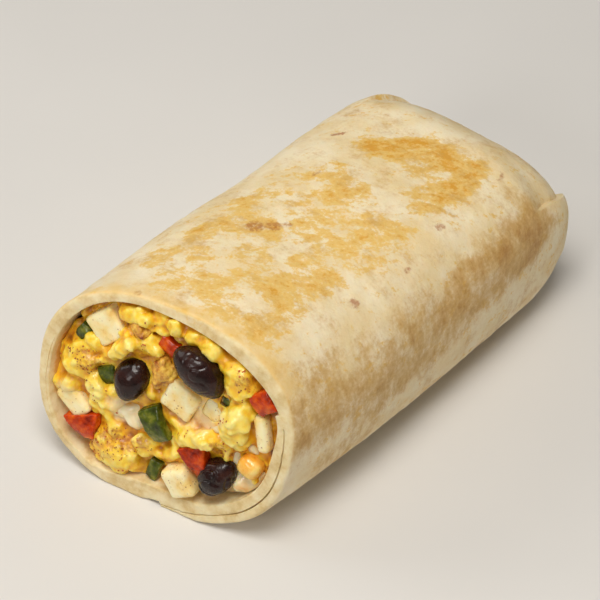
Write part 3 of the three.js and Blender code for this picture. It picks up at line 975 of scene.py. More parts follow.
@dataclass(frozen=True)
class CutPotato(Finish):
    """Cooked potato with a moist cut face and specks of spice."""

    name: str = "cut_potato"
    flesh: str = "fadb8e"
    pale: str = "ffefbe"
    amber: str = "edbb5c"
    spice: str = "9a4a1c"

    def made(self) -> bpy.types.Material:
        """Makes the material."""
        b = Board(self.name)
        color = b.tones(b.clouds(3.6, 4, 0.55), (0.22, self.amber), (0.4, self.flesh), (0.6, self.pale))
        patches = b.step(b.clouds(2.6, 1), 0.4, 0.56, 0, 0.75)
        specks = b.math("MULTIPLY", b.step(b.cells(0.9), 0.25, 0.1), patches)
        color = b.blend(specks, color, self.spice)
        bumps = b.relief(b.clouds(0.8, 4, 0.6), 0.08, 0.4)
        return b.finish(
            color,
            b.gloss(1.5, 2, 0.25, 0.4),
            bumps,
            Subsurface_Weight=0.35,
            Subsurface_Radius=(1.0, 0.65, 0.35),
            Subsurface_Scale=0.002,
            Coat_Weight=0.2,
            Coat_Roughness=0.15,
        )


@dataclass(frozen=True)
class Pepper(Finish):
    """Cooked pepper, glossy and uneven in tone."""

    name: str = "red_pepper"
    dark: str = "6c0e00"
    main: str = "be3904"
    light: str = "ec7614"

    def made(self) -> bpy.types.Material:
        """Makes the material."""
        b = Board(self.name)
        color = b.tones(b.clouds(2.6, 4, 0.6), (0.3, self.dark), (0.5, self.main), (0.75, self.light))
        bumps = b.relief(b.clouds(1.0, 3, 0.6), 0.15, 0.5)
        return b.finish(
            color,
            b.gloss(1.5, 2, 0.18, 0.34),
            bumps,
            Subsurface_Weight=0.1,
            Subsurface_Radius=(1.0, 0.3, 0.05),
            Subsurface_Scale=0.001,
            Coat_Weight=0.35,
            Coat_Roughness=0.05,
            Specular_IOR_Level=0.15,
        )


@dataclass(frozen=True)
class SoftCheddar(Finish):
    """A cube of cheddar, softened at its edges."""

    name: str = "soft_cheddar"
    main: str = "fcc04a"
    light: str = "ffdc86"
    deep: str = "f2a42a"

    def made(self) -> bpy.types.Material:
        """Makes the material."""
        b = Board(self.name)
        color = b.tones(b.clouds(3, 3), (0.3, self.deep), (0.5, self.main), (0.72, self.light))
        return b.finish(
            color,
            b.gloss(2, 2, 0.2, 0.34),
            b.relief(b.clouds(1.5, 3), 0.12, 0.5),
            Subsurface_Weight=0.4,
            Subsurface_Radius=(1.0, 0.6, 0.2),
            Subsurface_Scale=0.0018,
            Coat_Weight=0.3,
            Coat_Roughness=0.12,
        )


@dataclass(frozen=True)
class BrownedCrumble(Finish):
    """Browned crumble with dark and golden spots."""

    name: str = "browned_crumble"
    dark: str = "85380e"
    main: str = "cd8d2e"
    light: str = "f2c750"

    def made(self) -> bpy.types.Material:
        """Makes the material."""
        b = Board(self.name)
        color = b.tones(b.clouds(1.9, 5, 0.62), (0.32, self.dark), (0.45, self.main), (0.62, self.light))
        bumps = b.relief(b.clouds(0.9, 4, 0.62), 0.3, 0.7)
        return b.finish(color, b.gloss(1, 2, 0.3, 0.6), bumps, Coat_Weight=0.2, Coat_Roughness=0.2)


@dataclass(frozen=True)
class SpiceGrain(Finish):
    """Grains of brown and red spice."""

    name: str = "spice_grain"
    dark: str = "8f4416"
    red: str = "c4662a"

    def made(self) -> bpy.types.Material:
        """Makes the material."""
        b = Board(self.name)
        color = b.tones(b.clouds(2.5, 1), (0.4, self.dark), (0.6, self.red))
        return b.finish(color, b.gloss(1, 1, 0.4, 0.6))


@dataclass(frozen=True)
class StudioPaper(Finish):
    """The floor's pale paper."""

    name: str = "studio_paper"
    tone: str = "dcd9d4"
    other_tone: str = "e2dfda"

    def made(self) -> bpy.types.Material:
        """Makes the material."""
        b = Board(self.name)
        return b.finish(b.blend(b.clouds(60, 2), self.tone, self.other_tone), 0.9, Specular_IOR_Level=0.1)


@dataclass(frozen=True)
class Mark:
    """A mark on a surface: its middle, its half sizes, its turn in degrees and how strong it is."""

    at: Pair
    half: Pair
    turn: float = 0.0
    strength: float = 1.0

    def on(self, across: np.ndarray, along: np.ndarray) -> np.ndarray:
        """How strong the mark is at each place, from 0 to its strength."""
        way = math.radians(self.turn)
        dx, dy = across - self.at[0], along - self.at[1]
        u = (dx * math.cos(way) + dy * math.sin(way)) / self.half[0]
        v = (dy * math.cos(way) - dx * math.sin(way)) / self.half[1]
        return self.strength * eased((MARK_REACH - np.hypot(u, v)) / MARK_FADE)


@dataclass
class Tortilla:
    """The rolled tortilla, with its rim at the cut, its flap and its folded end."""

    even_points: int = 300
    edge_points: tuple[int, int] = (15, 17)
    edge_angles: Triple = (14.0, 350.0, 359.7)
    run_rings: int = 165
    end_rings: int = 62
    end_share: float = 1.985
    lip: float = 0.85
    lip_turns: Pair = (18.0, 90.0)
    lip_rings: int = 5
    rim_reach: float = 5.4
    rim_rings: int = 13
    rim_swells: tuple[Swell, ...] = (Swell(0.14, 1.8, 2, 3.1), Swell(0.3, 7.0, 2, 6.3))
    blisters: tuple[Swell, ...] = (Swell(0.16, 7, 3, 1.7), Swell(0.07, 2.6, 2, 5.2))
    blister_dip: float = 0.12
    skin_depth: float = 1.6
    near_cut: float = 9.0
    free_edge: Pair = (-3.0, 16.0)
    free_edge_share: float = 0.94
    crease_from: float = 10.0
    crease_stops: float = 8.0
    crease_share: float = 0.014
    crease_widths: Pair = (0.36, 0.06)
    finish: Finish = field(default_factory=ToastedTortilla)
    golden: tuple[Mark, ...] = (
        Mark((-5.0, 22.5), (6.0, 3.6), 10, 1.1),
        Mark((0.5, 28.0), (6.5, 4.6), 30, 1.2),
        Mark((6.5, 29.0), (6.0, 4.4), 0, 1.2),
        Mark((12.0, 29.5), (3.8, 5.0), 0, 1.25),
        Mark((14.0, 23.5), (3.2, 6.0), 0, 1.2),
        Mark((11.6, 15.0), (4.2, 5.0), 0, 0.85),
        Mark((5.5, 23.0), (5.0, 3.0), 20, 0.55),
        Mark((-12.8, -1.0), (4.0, 7.5), -10, 0.56),
        Mark((-14.5, -11.0), (3.4, 7.0), 0, 0.66),
        Mark((-5.0, -3.0), (5.0, 4.0), 0, 0.5),
        Mark((-10.5, -17.5), (4.4, 4.6), 0, 0.75),
        Mark((-5.5, -15.5), (5.0, 3.4), 0, 0.85),
        Mark((-14.0, -24.5), (3.4, 4.4), 0, 0.75),
        Mark((-15.1, -35.5), (3.2, 5.5), 0, 0.62),
        Mark((2.0, -6.0), (5.5, 7.0), 0, 0.72),
        Mark((0.3, 3.0), (5.0, 6.0), 0, 0.72),
        Mark((-6.0, 8.0), (5.5, 4.5), 0, 0.5),
        Mark((10.0, -1.0), (6.5, 4.8), 30, 0.8),
        Mark((14.6, 3.6), (3.8, 4.4), 0, 0.72),
        Mark((15.0, -8.0), (3.4, 5.0), 0, 0.6),
        Mark((8.0, -11.0), (4.6, 4.6), 0, 0.55),
        Mark((8.3, -18.8), (4.0, 3.4), 0, 0.6),
        Mark((-1.0, -24.5), (6.0, 3.6), 30, 0.5),
        Mark((-8.0, -31.0), (5.0, 4.0), 0, 0.45),
        Mark((-7.5, -40.0), (5.4, 4.2), 0, 0.66),
        Mark((1.0, -36.5), (6.5, 5.4), 30, 0.72),
        Mark((4.0, -30.0), (5.0, 3.6), 0, 0.66),
        Mark((10.5, -27.0), (5.6, 5.6), 0, 0.85),
        Mark((13.6, -20.5), (3.4, 5.6), 0, 0.8),
        Mark((14.6, -31.3), (3.4, 5.0), 0, 0.78),
        Mark((14.4, -38.8), (4.2, 3.4), 0, 0.85),
        Mark((7.4, -41.0), (4.6, 2.4), 20, 0.62),
    )
    browned: tuple[Mark, ...] = (
        Mark((-38.0, 30.0), (14.0, 9.0), 0, 0.62),
        Mark((-22.0, 27.0), (14.0, 9.0), 0, 0.6),
        Mark((-4.0, 26.0), (16.0, 8.0), 0, 0.66),
        Mark((14.0, 28.0), (14.0, 7.0), 0, 0.78),
        Mark((29.0, 28.5), (11.0, 6.5), -10, 1.0),
        Mark((10.0, 32.0), (8.0, 3.4), 0, 0.85),
        Mark((-21.5, 30.0), (4.0, 5.0), 0, 0.7),
        Mark((-30.0, 16.0), (10.0, 5.0), 0, 0.4),
    )
    spots: tuple[Mark, ...] = (
        Mark((18.9, 12.0), (0.8, 1.1), 0, 0.95),
        Mark((20.7, -17.3), (1.1, 1.0), 0, 0.9),
        Mark((-9.5, -48.0), (0.8, 0.8), 0, 0.9),
        Mark((-16.4, 21.0), (0.5, 1.9), -35, 1.2),
        Mark((17.6, 34.3), (0.6, 1.6), 20, 0.6),
        Mark((21.8, -2.1), (0.7, 0.9), 0, 0.7),
        Mark((-9.6, 5.9), (0.6, 1.4), 0, 0.8),
        Mark((-4.6, -13.4), (1.9, 1.6), 40, 0.8),
        Mark((-7.2, -16.2), (2.0, 1.8), 30, 0.85),
        Mark((-2.6, -11.2), (1.2, 1.0), 30, 0.75),
    )
    oiled: tuple[Mark, ...] = (
        Mark((-25.5, 22.5), (3.0, 8.0), 0, 1.0),
        Mark((25.0, 29.0), (2.6, 6.0), 0, 0.85),
        Mark((23.0, 17.0), (4.0, 6.0), 0, 0.7),
        Mark((2.0, 3.6), (6.0, 3.0), 0, 0.8),
        Mark((-14.0, 6.0), (6.0, 3.0), -20, 0.5),
    )

    def body(self) -> bpy.types.Mesh:
        """The roll before it is hollowed, with a rounded lip at the cut."""
        before, after = self.edge_points
        close, far, last = self.edge_angles
        past = np.concatenate(
            [
                np.linspace(0, close, before)[:-1],
                np.linspace(close, far, self.even_points),
                np.linspace(far, last, after)[1:],
            ]
        )
        angles = ROLL.flap_edge + np.radians(past)[None, :]
        step, ripple = ROLL.step_in(angles), ROLL.ripple(angles, -ROLL.length / 2)
        depths = np.linspace(self.rim_reach, self.lip, self.rim_rings)[:, None]
        rim = ROLL.skin(angles, 0.0, depths + step + ripple)
        rim[..., 1] += self.rim_bumps(rim)
        turn = np.radians(np.linspace(*self.lip_turns, self.lip_rings))[:, None]
        rounding, back = self.lip * (1 - np.sin(turn)), self.lip * (1 - np.cos(turn))
        lip = ROLL.skin(angles, 0.0, step + ripple + rounding, back=back)
        lip[..., 1] += self.rim_bumps(lip) * np.cos(turn)
        shares = along_roll(self.run_rings, self.end_rings, self.end_share)[1:]
        back = np.where(shares <= 1, self.lip, 0.0)
        lowered = ROLL.lowered(angles, shares)
        skin = ROLL.skin(angles, shares, lowered, end_depth=0.0, folds=1.0, back=back)
        return wrapped(np.concatenate([rim, lip, skin]), "body")

    def rim_bumps(self, points: Points) -> np.ndarray:
        """How far the rim's cut face lies behind its plane at rows of points."""
        return uneven(points.reshape(-1, 3), *self.rim_swells).reshape(points.shape[:2])

    def hollow(
        self, extra: float = 0.0, back: float = -3.0, around: int = 170, lip: float = 0.4
    ) -> bpy.types.Mesh:
        """The space inside the roll, flared a little at the cut.

        Args:
            extra: How much further in than the wall.
            back: Where it starts, behind the cut.
            around: Points round it.
            lip: Radius of the flare, or 0 for none.

        Returns:
            The solid.
        """
        angles = ROLL.inner_angles(around)[None, :]
        wall = ROLL.wall(angles) + extra
        rings = [ROLL.skin(angles, 0.0, wall - lip, back=back)]
        if lip:
            turn = np.radians(np.linspace(0, 90, 6))[:-1, None]
            flare, behind = lip * (1 - np.sin(turn)), lip * (1 - np.cos(turn))
            rings.append(ROLL.skin(angles, 0.0, wall - flare, back=behind))
        shares = along_roll(50, 12)
        start = np.where(shares <= 1, lip, 0.0)
        rings.append(ROLL.skin(angles, shares, wall, end_depth=ROLL.end_sheets + extra, back=start))
        return wrapped(np.concatenate(rings), "hollow")

    def between_layers(self, reach: Pair, share_end: float, widths: Pair) -> bpy.types.Mesh:
        """A thin space between the flap and the layer under it.

        Args:
            reach: From where to where it runs round, in degrees past the flap's edge.
            share_end: How far it runs along the roll, as a share.
            widths: How wide it is at the cut and where it ends.

        Returns:
            The solid.
        """
        past = np.radians(np.linspace(*reach, 70))[None, :]
        shares = np.concatenate([[0.0], np.linspace(0.0, share_end, 36)])[:, None]
        back = np.concatenate([[-3.0], np.zeros(36)])[:, None]
        wide = between(widths, shares / share_end)
        thick = ROLL.flap_thickness(np.maximum(0, past)) - (wide - widths[1]) / 2
        inner = ROLL.skin(ROLL.flap_edge + past, shares, thick + wide, back=back)
        outer = ROLL.skin(ROLL.flap_edge + past, shares, thick, back=back)
        return wrapped(np.concatenate([inner[:, ::-1], outer], axis=1), "gap")

    def mark(self, mesh: bpy.types.Mesh) -> None:
        """Keeps the toasted, browned and oiled places on the mesh, and gives the skin its low blisters."""
        points = points_of(mesh)
        x, y, z = points.T
        normals = normals_of(mesh)
        depth = ROLL.depth_of(points)
        skin = (depth < self.skin_depth) | (y > ROLL.length / 2 - ROLL.end_round)
        behind = y - ROLL.cut_y(x, z)
        outside = np.where(skin & (behind > 0.1), 1.0, 0.0)
        dips = np.maximum(uneven(points, *self.blisters), -self.blister_dip) * outside
        rests = eased((z - 0.4) / 2.0)
        set_points(mesh, points - normals * (dips * rests * eased(behind / 2))[:, None])
        top = eased((normals[:, 2] - 0.25) / 0.4) * outside
        toast = self.strongest(self.golden, x, y) * top
        keep_values(mesh, "toast", toast * eased((behind - 1.5) / 3.5))
        right = eased((normals[:, 0] - 0.2) / 0.4) * outside
        keep_values(mesh, "side", self.strongest(self.browned, y, z) * right)
        keep_values(mesh, "spots", self.strongest(self.spots, x, y) * top)
        inside = np.where(skin, 0.0, 1.0)
        keep_values(mesh, "inside", np.maximum(inside, 0.9 * eased((0.5 - behind) / 0.3)))
        keep_values(mesh, "near_cut", eased(1 - behind / self.near_cut) * top)
        deep = eased((behind - 1.2) / 1.5) * inside
        keep_values(mesh, "oil", self.strongest(self.oiled, x, z) * deep)

    @staticmethod
    def strongest(marks: tuple[Mark, ...], across: np.ndarray, along: np.ndarray) -> np.ndarray:
        """The strongest of several marks at each place."""
        return np.maximum.reduce([mark.on(across, along) for mark in marks])

    def build(self) -> bpy.types.Object:
        """Builds and dresses the tortilla."""
        free_edge = self.between_layers(self.free_edge, self.free_edge_share, (ROLL.gap, ROLL.gap))
        reach = (self.crease_from, math.degrees(ROLL.flap_lap) - self.crease_stops)
        crease = self.between_layers(reach, self.crease_share, self.crease_widths)
        mesh = carved(self.body(), [self.hollow(), free_edge, crease], Cut.AWAY)
        self.mark(mesh)
        mesh.set_sharp_from_angle(angle=math.radians(50))
        return finished("tortilla", mesh, self.finish, ["tortilla"])


@dataclass(frozen=True)
class Set:
    """Where a piece is set: its x and z at the cut, how far out of it, and its turn in degrees."""

    at: Pair
    out: float
    turn: Triple

    def matrix(self) -> Matrix:
        """The turn about x, y and z in that order, and the place."""
        rx, ry, rz = (math.radians(v) for v in self.turn)
        turned = Matrix.Rotation(rx, 4, "X") @ Matrix.Rotation(ry, 4, "Y") @ Matrix.Rotation(rz, 4, "Z")
        on_cut = Matrix.Translation(ROLL.on_cut(*self.at)) @ ROLL.facing()
        return on_cut @ Matrix.Translation((0, -self.out, 0)) @ turned


PIECE_FINISHES = {
    "black_bean": BeanSkin(),
    "potato": CutPotato(),
    "red_pepper": Pepper(),
    "green_pepper": Pepper("green_pepper", "22280a", "4a550f", "989437"),
    "cheddar": SoftCheddar(),
    "browned_crumble": BrownedCrumble(),
}


@dataclass
class Piece:
    """A piece in the filling, made at the origin facing -Y and then set at the cut.

    Its name is that of its material slot with a number. The egg stays clear of it by a distance, which is
    below nil where the egg goes on a little into its edge.
    """

    name: str
    size: Triple
    place: Set
    voxel: float = 0.18
    softening: int = 6
    uneven: float = 0.1
    swell: float = 3.2
    seed: float = 0.0
    clear: float = -0.08

    @property
    def slot(self) -> str:
        """The record's material slot."""
        return self.name.rpartition("_")[0]

    def form(self, grow: float) -> bmesh.types.BMesh:
        """The plain form at the origin, a given amount larger all round."""
        raise NotImplementedError

    def solid(self, grow: float = 0.0) -> bpy.types.Mesh:
        """The form, set at the cut."""
        bm = self.form(grow)
        bm.transform(self.place.matrix())
        return mesh_from(bm, self.name)

    def worked(self, mesh: bpy.types.Mesh) -> None:
        """Makes the surface uneven."""
        points, normals = points_of(mesh), normals_of(mesh)
        broad = waves(points, self.swell, 2, self.seed)
        fine = waves(points, self.swell / 3, 2, self.seed + 7)
        set_points(mesh, points + normals * (self.uneven * (broad + 0.35 * fine))[:, None])

    def build(self, inside: bpy.types.Mesh, earlier: list[bpy.types.Mesh]) -> bpy.types.Object:
        """Builds and dresses the piece.

        Args:
            inside: The space inside the roll, which the piece stays in.
            earlier: Pockets of the pieces set before it, which it stays out of.

        Returns:
            The piece.
        """
        mesh = carved(self.solid(), [inside], Cut.WITHIN)
        if earlier:
            mesh = carved(mesh, earlier, Cut.AWAY)
        mesh = remeshed(mesh, self.voxel)
        set_points(mesh, evened(mesh, points_of(mesh), self.softening))
        self.worked(mesh)
        return finished(self.name, mesh, PIECE_FINISHES[self.slot], [self.name])


@dataclass
class Bean(Piece):
    """A cooked black bean, of a length and a width."""

    crease: float = 0.06
    tapers: float = 0.1
    bends: float = 0.08
    flatter: float = 0.9

    def worked(self, mesh: bpy.types.Mesh) -> None:
        """Makes the skin uneven and wrinkled."""
        super().worked(mesh)
        points, normals = points_of(mesh), normals_of(mesh)
        lines = eased(1 - np.abs(waves(points, 3.4, 1, self.seed + 5)) / 0.14)
        set_points(mesh, points - normals * (self.crease * lines)[:, None])

    def form(self, grow: float) -> bmesh.types.BMesh:
        """A full, slightly bent oval."""
        length, width, _ = self.size
        bm = bmesh.new()
        bmesh.ops.create_icosphere(bm, subdivisions=5, radius=0.5)
        for vert in bm.verts:
            x, y, z = vert.co
            full = (1 - self.tapers * (2 * x) ** 2) * width + 2 * grow
            bend = self.bends * (1 - (2 * x) ** 2) * width
            vert.co = (x * (length + 2 * grow), y * self.flatter * full, z * full + bend)
        return bm


@dataclass
class Dice(Piece):
    """A cube with soft edges."""

    radius: float = 0.9
    softening: int = 4

    def form(self, grow: float) -> bmesh.types.BMesh:
        """A box with rounded edges, its size as width, height and depth."""
        width, height, depth = (v + 2 * grow for v in self.size)
        bm = bmesh.new()
        bmesh.ops.create_cube(bm, size=1)
        bmesh.ops.scale(bm, vec=(width, depth, height), verts=bm.verts)
        bmesh.ops.bevel(
            bm,
            geom=bm.edges,
            offset=self.radius + grow,
            affect="EDGES",
            segments=4,
            profile=0.5,
            material=-1,
        )
        return bm


@dataclass
class PepperBit(Piece):
    """A bit of pepper wall, bowed towards the cut."""

    bow: float = 0.5
    twist: float = 0.06
    taper: float = 0.0
    softening: int = 14
    uneven: float = 0.16
    swell: float = 2.2

    def form(self, grow: float) -> bmesh.types.BMesh:
        """A bowed slab that narrows downwards, its size as width, height and thickness."""
        width, height, thick = (v + 2 * grow for v in self.size)
        bm = bmesh.new()
        bmesh.ops.create_cube(bm, size=1)
        bmesh.ops.subdivide_edges(bm, edges=bm.edges, cuts=7, use_grid_fill=True)
        bmesh.ops.scale(bm, vec=(width, thick, height), verts=bm.verts)
        for vert in bm.verts:
            x, y, z = vert.co
            narrower = 1 - self.taper * (0.5 - z / self.size[1])
            vert.co.x = x * narrower
            vert.co.y = y - self.bow * (1 - (2 * z) ** 2 / self.size[1] ** 2) + self.twist * x * z
        return bm


@dataclass
class Crumb(Piece):
    """A rough browned lump."""

    rough: float = 0.2
    lump_height: float = 0.6
    lump_size: float = 1.9

    def worked(self, mesh: bpy.types.Mesh) -> None:
        """Breaks the surface up into small crumbs."""
        points, normals = points_of(mesh), normals_of(mesh)
        lumps = self.lump_height * knobs(points, self.lump_size, self.seed)
        grown = lumps + uneven(points, Swell(0.25, 1.3, 2, self.seed + 3))
        set_points(mesh, points + normals * (grown - self.lump_height / 2)[:, None])

    def form(self, grow: float) -> bmesh.types.BMesh:
        """An uneven lump, its size as width, height and depth."""
        width, height, depth = (v + 2 * grow for v in self.size)
        bm = bmesh.new()
        bmesh.ops.create_icosphere(bm, subdivisions=4, radius=0.5)
        for vert in bm.verts:
            x, y, z = vert.co
            wave = math.sin(6.2 * x + self.seed) * math.cos(5.4 * y - 2 * self.seed)
            wave += math.sin(8.6 * z + 1.7 * self.seed) * math.cos(7.8 * x + 0.5 * self.seed)
            vert.co *= 1 + self.rough * wave
        bmesh.ops.scale(bm, vec=(width, depth, height), verts=bm.verts)
        return bm


@dataclass(frozen=True)
class Curd:
    """A curd at the cut: its x and z, length and width, turn in degrees, and how far it stands out."""

    at: Pair
    size: Pair
    turn: float
    out: float
    paler: float = 0.0


@dataclass
class EggHeap:
    """The scrambled egg: a bed with curds at the cut, and a core that runs on to the folded end."""

    bed_recess: float = 4.4
    bed_crown: float = 2.4
    bed_depth: float = 9.0
    back_depth: float = 8.0
    bed_middle: Pair = (0.0, 24.0)
    bed_half: Pair = (26.5, 21.5)
    core_gap: float = 0.3
    seed: int = 11
    coarse: float = 0.3
    voxel: float = 0.25
    knob: Triple = (0.3, 2.6, 2.4)
    broad_swell: Swell = Swell(0.5, 2.8, 3, 1.1)
    fine_swell: Swell = Swell(0.14, 1.1, 2, 8.8)
    last_swell: Swell = Swell(0.07, 0.9, 2, 5.5)
    finish: Finish = field(default_factory=ScrambledEgg)
    curds: tuple[Curd, ...] = (
        Curd((-8.7, 41.4), (9.5, 4.6), 8, 0.5),
        Curd((-0.1, 42.4), (5.0, 3.6), 80, 0.8),
        Curd((6.2, 41.2), (9.0, 4.2), -12, 0.4),
        Curd((14.2, 36.0), (11.0, 8.0), -55, 1.0),
        Curd((-10.1, 34.0), (10.2, 3.3), 50, 1.8),
        Curd((-5.2, 36.6), (8.0, 4.0), -5, 0.8),
        Curd((-21.0, 25.4), (10.0, 8.2), 60, 0.6),
        Curd((-15.0, 19.8), (10.0, 4.6), 108, 0.6, 0.2),
        Curd((-23.4, 18.2), (9.0, 5.0), 35, -0.6),
        Curd((-10.0, 7.0), (14.0, 7.6), 12, 0.8),
        Curd((-3.7, 12.7), (6.0, 4.6), 80, 1.0),
        Curd((7.4, 19.4), (12.6, 4.4), 27, 1.4, 0.1),
        Curd((2.6, 12.4), (7.0, 3.2), 50, -0.4),
        Curd((15.9, 26.0), (11.0, 6.0), 80, 2.0, 0.15),
        Curd((13.3, 16.8), (6.0, 3.4), 15, -1.5),
        Curd((2.8, 19.9), (4.5, 3.0), -10, -0.6),
        Curd((-17.9, 31.0), (6.0, 4.0), 30, 0.0),
        Curd((-11.2, 35.5), (5.0, 4.0), 60, -0.5),
        Curd((-3.9, 25.0), (3.4, 3.0), 60, -0.5),
        Curd((17.8, 29.0), (4.0, 3.0), 40, -1.0),
        Curd((-12.7, 9.5), (7.0, 5.0), 20, 0.0),
    )
    spine: float = 0.84
    spine_steps: float = 1.6
    least_lobes: int = 8
    lobes_per_area: float = 0.5
    largest_lobe: float = 2.1
    lobe_sizes: Pair = (0.36, 0.66)
    lobe_sinks: Pair = (0.5, 0.95)
    uneven_lobes: Pair = (0.68, 1.3)
    curdlet_tries: int = 620
    curdlet_across: Pair = (-26, 26)
    curdlet_up: Pair = (3, 46)
    curdlet_sizes: Pair = (0.9, 2.2)
    curdlet_stands: Pair = (0.1, 1.5)
    clear_of_pieces: float = 0.9
    clear_of_cheese: float = 2.7
    rise_at_rest: float = 0.44
    rise_shares: Triple = (1.9, 0.42, 0.08)
    rise_rounds: tuple[int, int] = (6, 45)
    seen_shift: Pair = (0.68, 0.99)
    dust_drift: Swell = Swell(0.5, 2.5, 2, 9.4)
    dust_from: float = 0.25
    dust_facing: float = -0.3
    cheese_places: tuple[Pair, ...] = ((-8.5, 17.5), (-6.5, 14.8), (9.2, 22.5), (17.6, 12.4), (19.5, 10.5))
    seasoned: tuple[Mark, ...] = (
        Mark((-18.0, 28.0), (3.5, 3.0), 0, 0.75),
        Mark((-15.0, 23.0), (2.5, 2.0), 0, 0.45),
        Mark((-9.0, 12.0), (5.0, 3.0), 0, 0.8),
        Mark((-3.0, 14.0), (2.0, 1.6), 0, 0.9),
        Mark((-12.0, 8.0), (4.0, 2.5), 0, 0.6),
        Mark((17.0, 38.0), (3.0, 3.0), 0, 0.7),
        Mark((14.0, 20.0), (3.0, 1.6), 0, 0.75),
        Mark((-7.5, 35.6), (2.4, 1.0), 30, 0.5),
        Mark((12.0, 27.0), (2.6, 2.0), 0, 0.4),
    )
    cheesy: tuple[Mark, ...] = (
        Mark((-7.8, 19.9), (4.5, 3.2), 0, 0.9),
        Mark((9.5, 27.0), (4.6, 3.4), 0, 0.9),
        Mark((7.0, 23.0), (4.0, 2.4), 0, 0.6),
        Mark((19.5, 12.0), (6.0, 3.4), 0, 1.0),
        Mark((-22.0, 19.0), (3.6, 2.4), 0, 0.7),
    )

    def bed(self) -> bpy.types.Mesh:
        """The bed that the curds lie on, sunk below the cut."""
        angles = ROLL.inner_angles(120)
        edge = ROLL.skin(angles[None, :], 0.0, ROLL.wall(angles)[None, :] + 0.2)[0]
        middle = np.array([0.0, 0.0, ROLL.height[0] / 2])
        rings = []
        for scale in np.linspace(0.04, 0.995, 30):
            ring = middle + (edge - middle) * scale
            ring[:, 1] = ROLL.cut_y(ring[:, 0], ring[:, 2]) - self.bed_level(scale)
            rings.append(ring)
        last_ring = rings[-1]
        for deeper in np.linspace(0, self.bed_depth, 8)[1:]:
            rings.append(last_ring + np.array([0.0, deeper, 0.0]))
        return wrapped(np.array(rings), "bed")

    def bed_level(self, scale: float) -> float:
        """How far the bed stands out of the cut at a share of the way from its middle to its edge."""
        return self.bed_crown * (1 - scale**4) - self.bed_recess

    def lobes(self, rng: np.random.Generator) -> list[tuple[Vector, float]]:
        """The small round lobes that the curds are made of: middle and radius."""
        found = []
        for curd in self.curds:
            long, wide = curd.size
            way, radius, half = math.radians(curd.turn), wide / 2, (long - wide) / 2
            axis = Vector((math.cos(way), 0.0, math.sin(way)))
            middle = ROLL.on_cut(*curd.at, curd.out - radius)
            steps = max(2, round(2 * half / radius * self.spine_steps) + 1)
            for along in np.linspace(-half, half, steps):
                found.append((middle + axis * along, radius * self.spine))
            for _ in range(round(self.least_lobes + self.lobes_per_area * long * wide)):
                ray = Vector(rng.normal(size=3))
                ray.normalize()
                ray.y = -abs(ray.y) * 0.9 + 0.1
                small = min(self.largest_lobe, radius * rng.uniform(*self.lobe_sizes))
                reach = radius - small * rng.uniform(*self.lobe_sinks)
                found.append((middle + axis * rng.uniform(-half, half) + ray * reach, small))
        return found

    def curdlets(self, rng: np.random.Generator, taken: list[Triple]) -> list[tuple[Vector, float]]:
        """Small curds scattered over the bed, clear of the taken places: middle and radius."""
        found = []
        for _ in range(self.curdlet_tries):
            x, z = rng.uniform(*self.curdlet_across), rng.uniform(*self.curdlet_up)
            off_x, off_z = x - self.bed_middle[0], z - self.bed_middle[1]
            scale = math.hypot(off_x / self.bed_half[0], off_z / self.bed_half[1])
            if scale > 1 or any(math.hypot(x - a, z - c) < reach for a, c, reach in taken):
                continue
            small = rng.uniform(*self.curdlet_sizes)
            stands = rng.uniform(*self.curdlet_stands)
            found.append((ROLL.on_cut(x, z, self.bed_level(scale) + stands - small * 0.5), small))
        return found

    def front(self, pieces: list[Piece], inside: bpy.types.Mesh) -> bpy.types.Mesh:
        """The bed and its curds as one soft, knobbly mesh, clear of the pieces."""
        rng = np.random.default_rng(self.seed)
        bm = bmesh.new()
        bm.from_mesh(self.bed())
        ball = bmesh.new()
        bmesh.ops.create_icosphere(ball, subdivisions=3, radius=1)
        template = mesh_from(ball, "lobe")
        taken = [(*p.place.at, max(p.size[0], p.size[1]) / 2 + self.clear_of_pieces) for p in pieces]
        taken += [(*at, self.clear_of_cheese) for at in self.cheese_places]
        for middle, radius in self.lobes(rng) + self.curdlets(rng, taken):
            lobe = template.copy()
            sizes = radius * rng.uniform(*self.uneven_lobes, size=3)
            lobe.transform(tumbled(middle, sizes, rng))
            bm.from_mesh(lobe)
            bpy.data.meshes.remove(lobe)
        mesh = remeshed(mesh_from(bm, "heap"), self.coarse)
        set_points(mesh, evened(mesh, points_of(mesh), 6))
        points, normals = points_of(mesh), normals_of(mesh)
        height, size, seed = self.knob
        grown = height * knobs(points, size, seed) + uneven(points, self.broad_swell)
        grown = grown + uneven(points, self.fine_swell)
        set_points(mesh, points + normals * (grown - 0.1)[:, None])
        mesh = remeshed(mesh, self.voxel)
        mesh = carved(mesh, [inside], Cut.WITHIN)
        pockets = [piece.solid(piece.clear) for piece in pieces]
        mesh = carved(mesh, pockets, Cut.AWAY)
        mesh = remeshed(mesh, self.voxel)
        set_points(mesh, evened(mesh, points_of(mesh), 1))
        points, normals = points_of(mesh), normals_of(mesh)
        set_points(mesh, points + normals * uneven(points, self.last_swell)[:, None])
        return self.flat_backed(mesh)

    def flat_backed(self, mesh: bpy.types.Mesh) -> bpy.types.Mesh:
        """The mesh cut off flat behind, where it can't be seen."""
        bm = bmesh.new()
        bm.from_mesh(mesh)
        lean = Vector((-ROLL.cut_skew, 1.0, -ROLL.cut_lean)).normalized()
        at = ROLL.on_cut(0.0, ROLL.height[0] / 2, -self.back_depth)
        everything = [*bm.verts, *bm.edges, *bm.faces]
        bmesh.ops.bisect_plane(bm, geom=everything, dist=1e-4, plane_co=at, plane_no=lean, clear_outer=True)
        bmesh.ops.holes_fill(bm, edges=[e for e in bm.edges if e.is_boundary], sides=0)
        return mesh_from(bm, "curds")

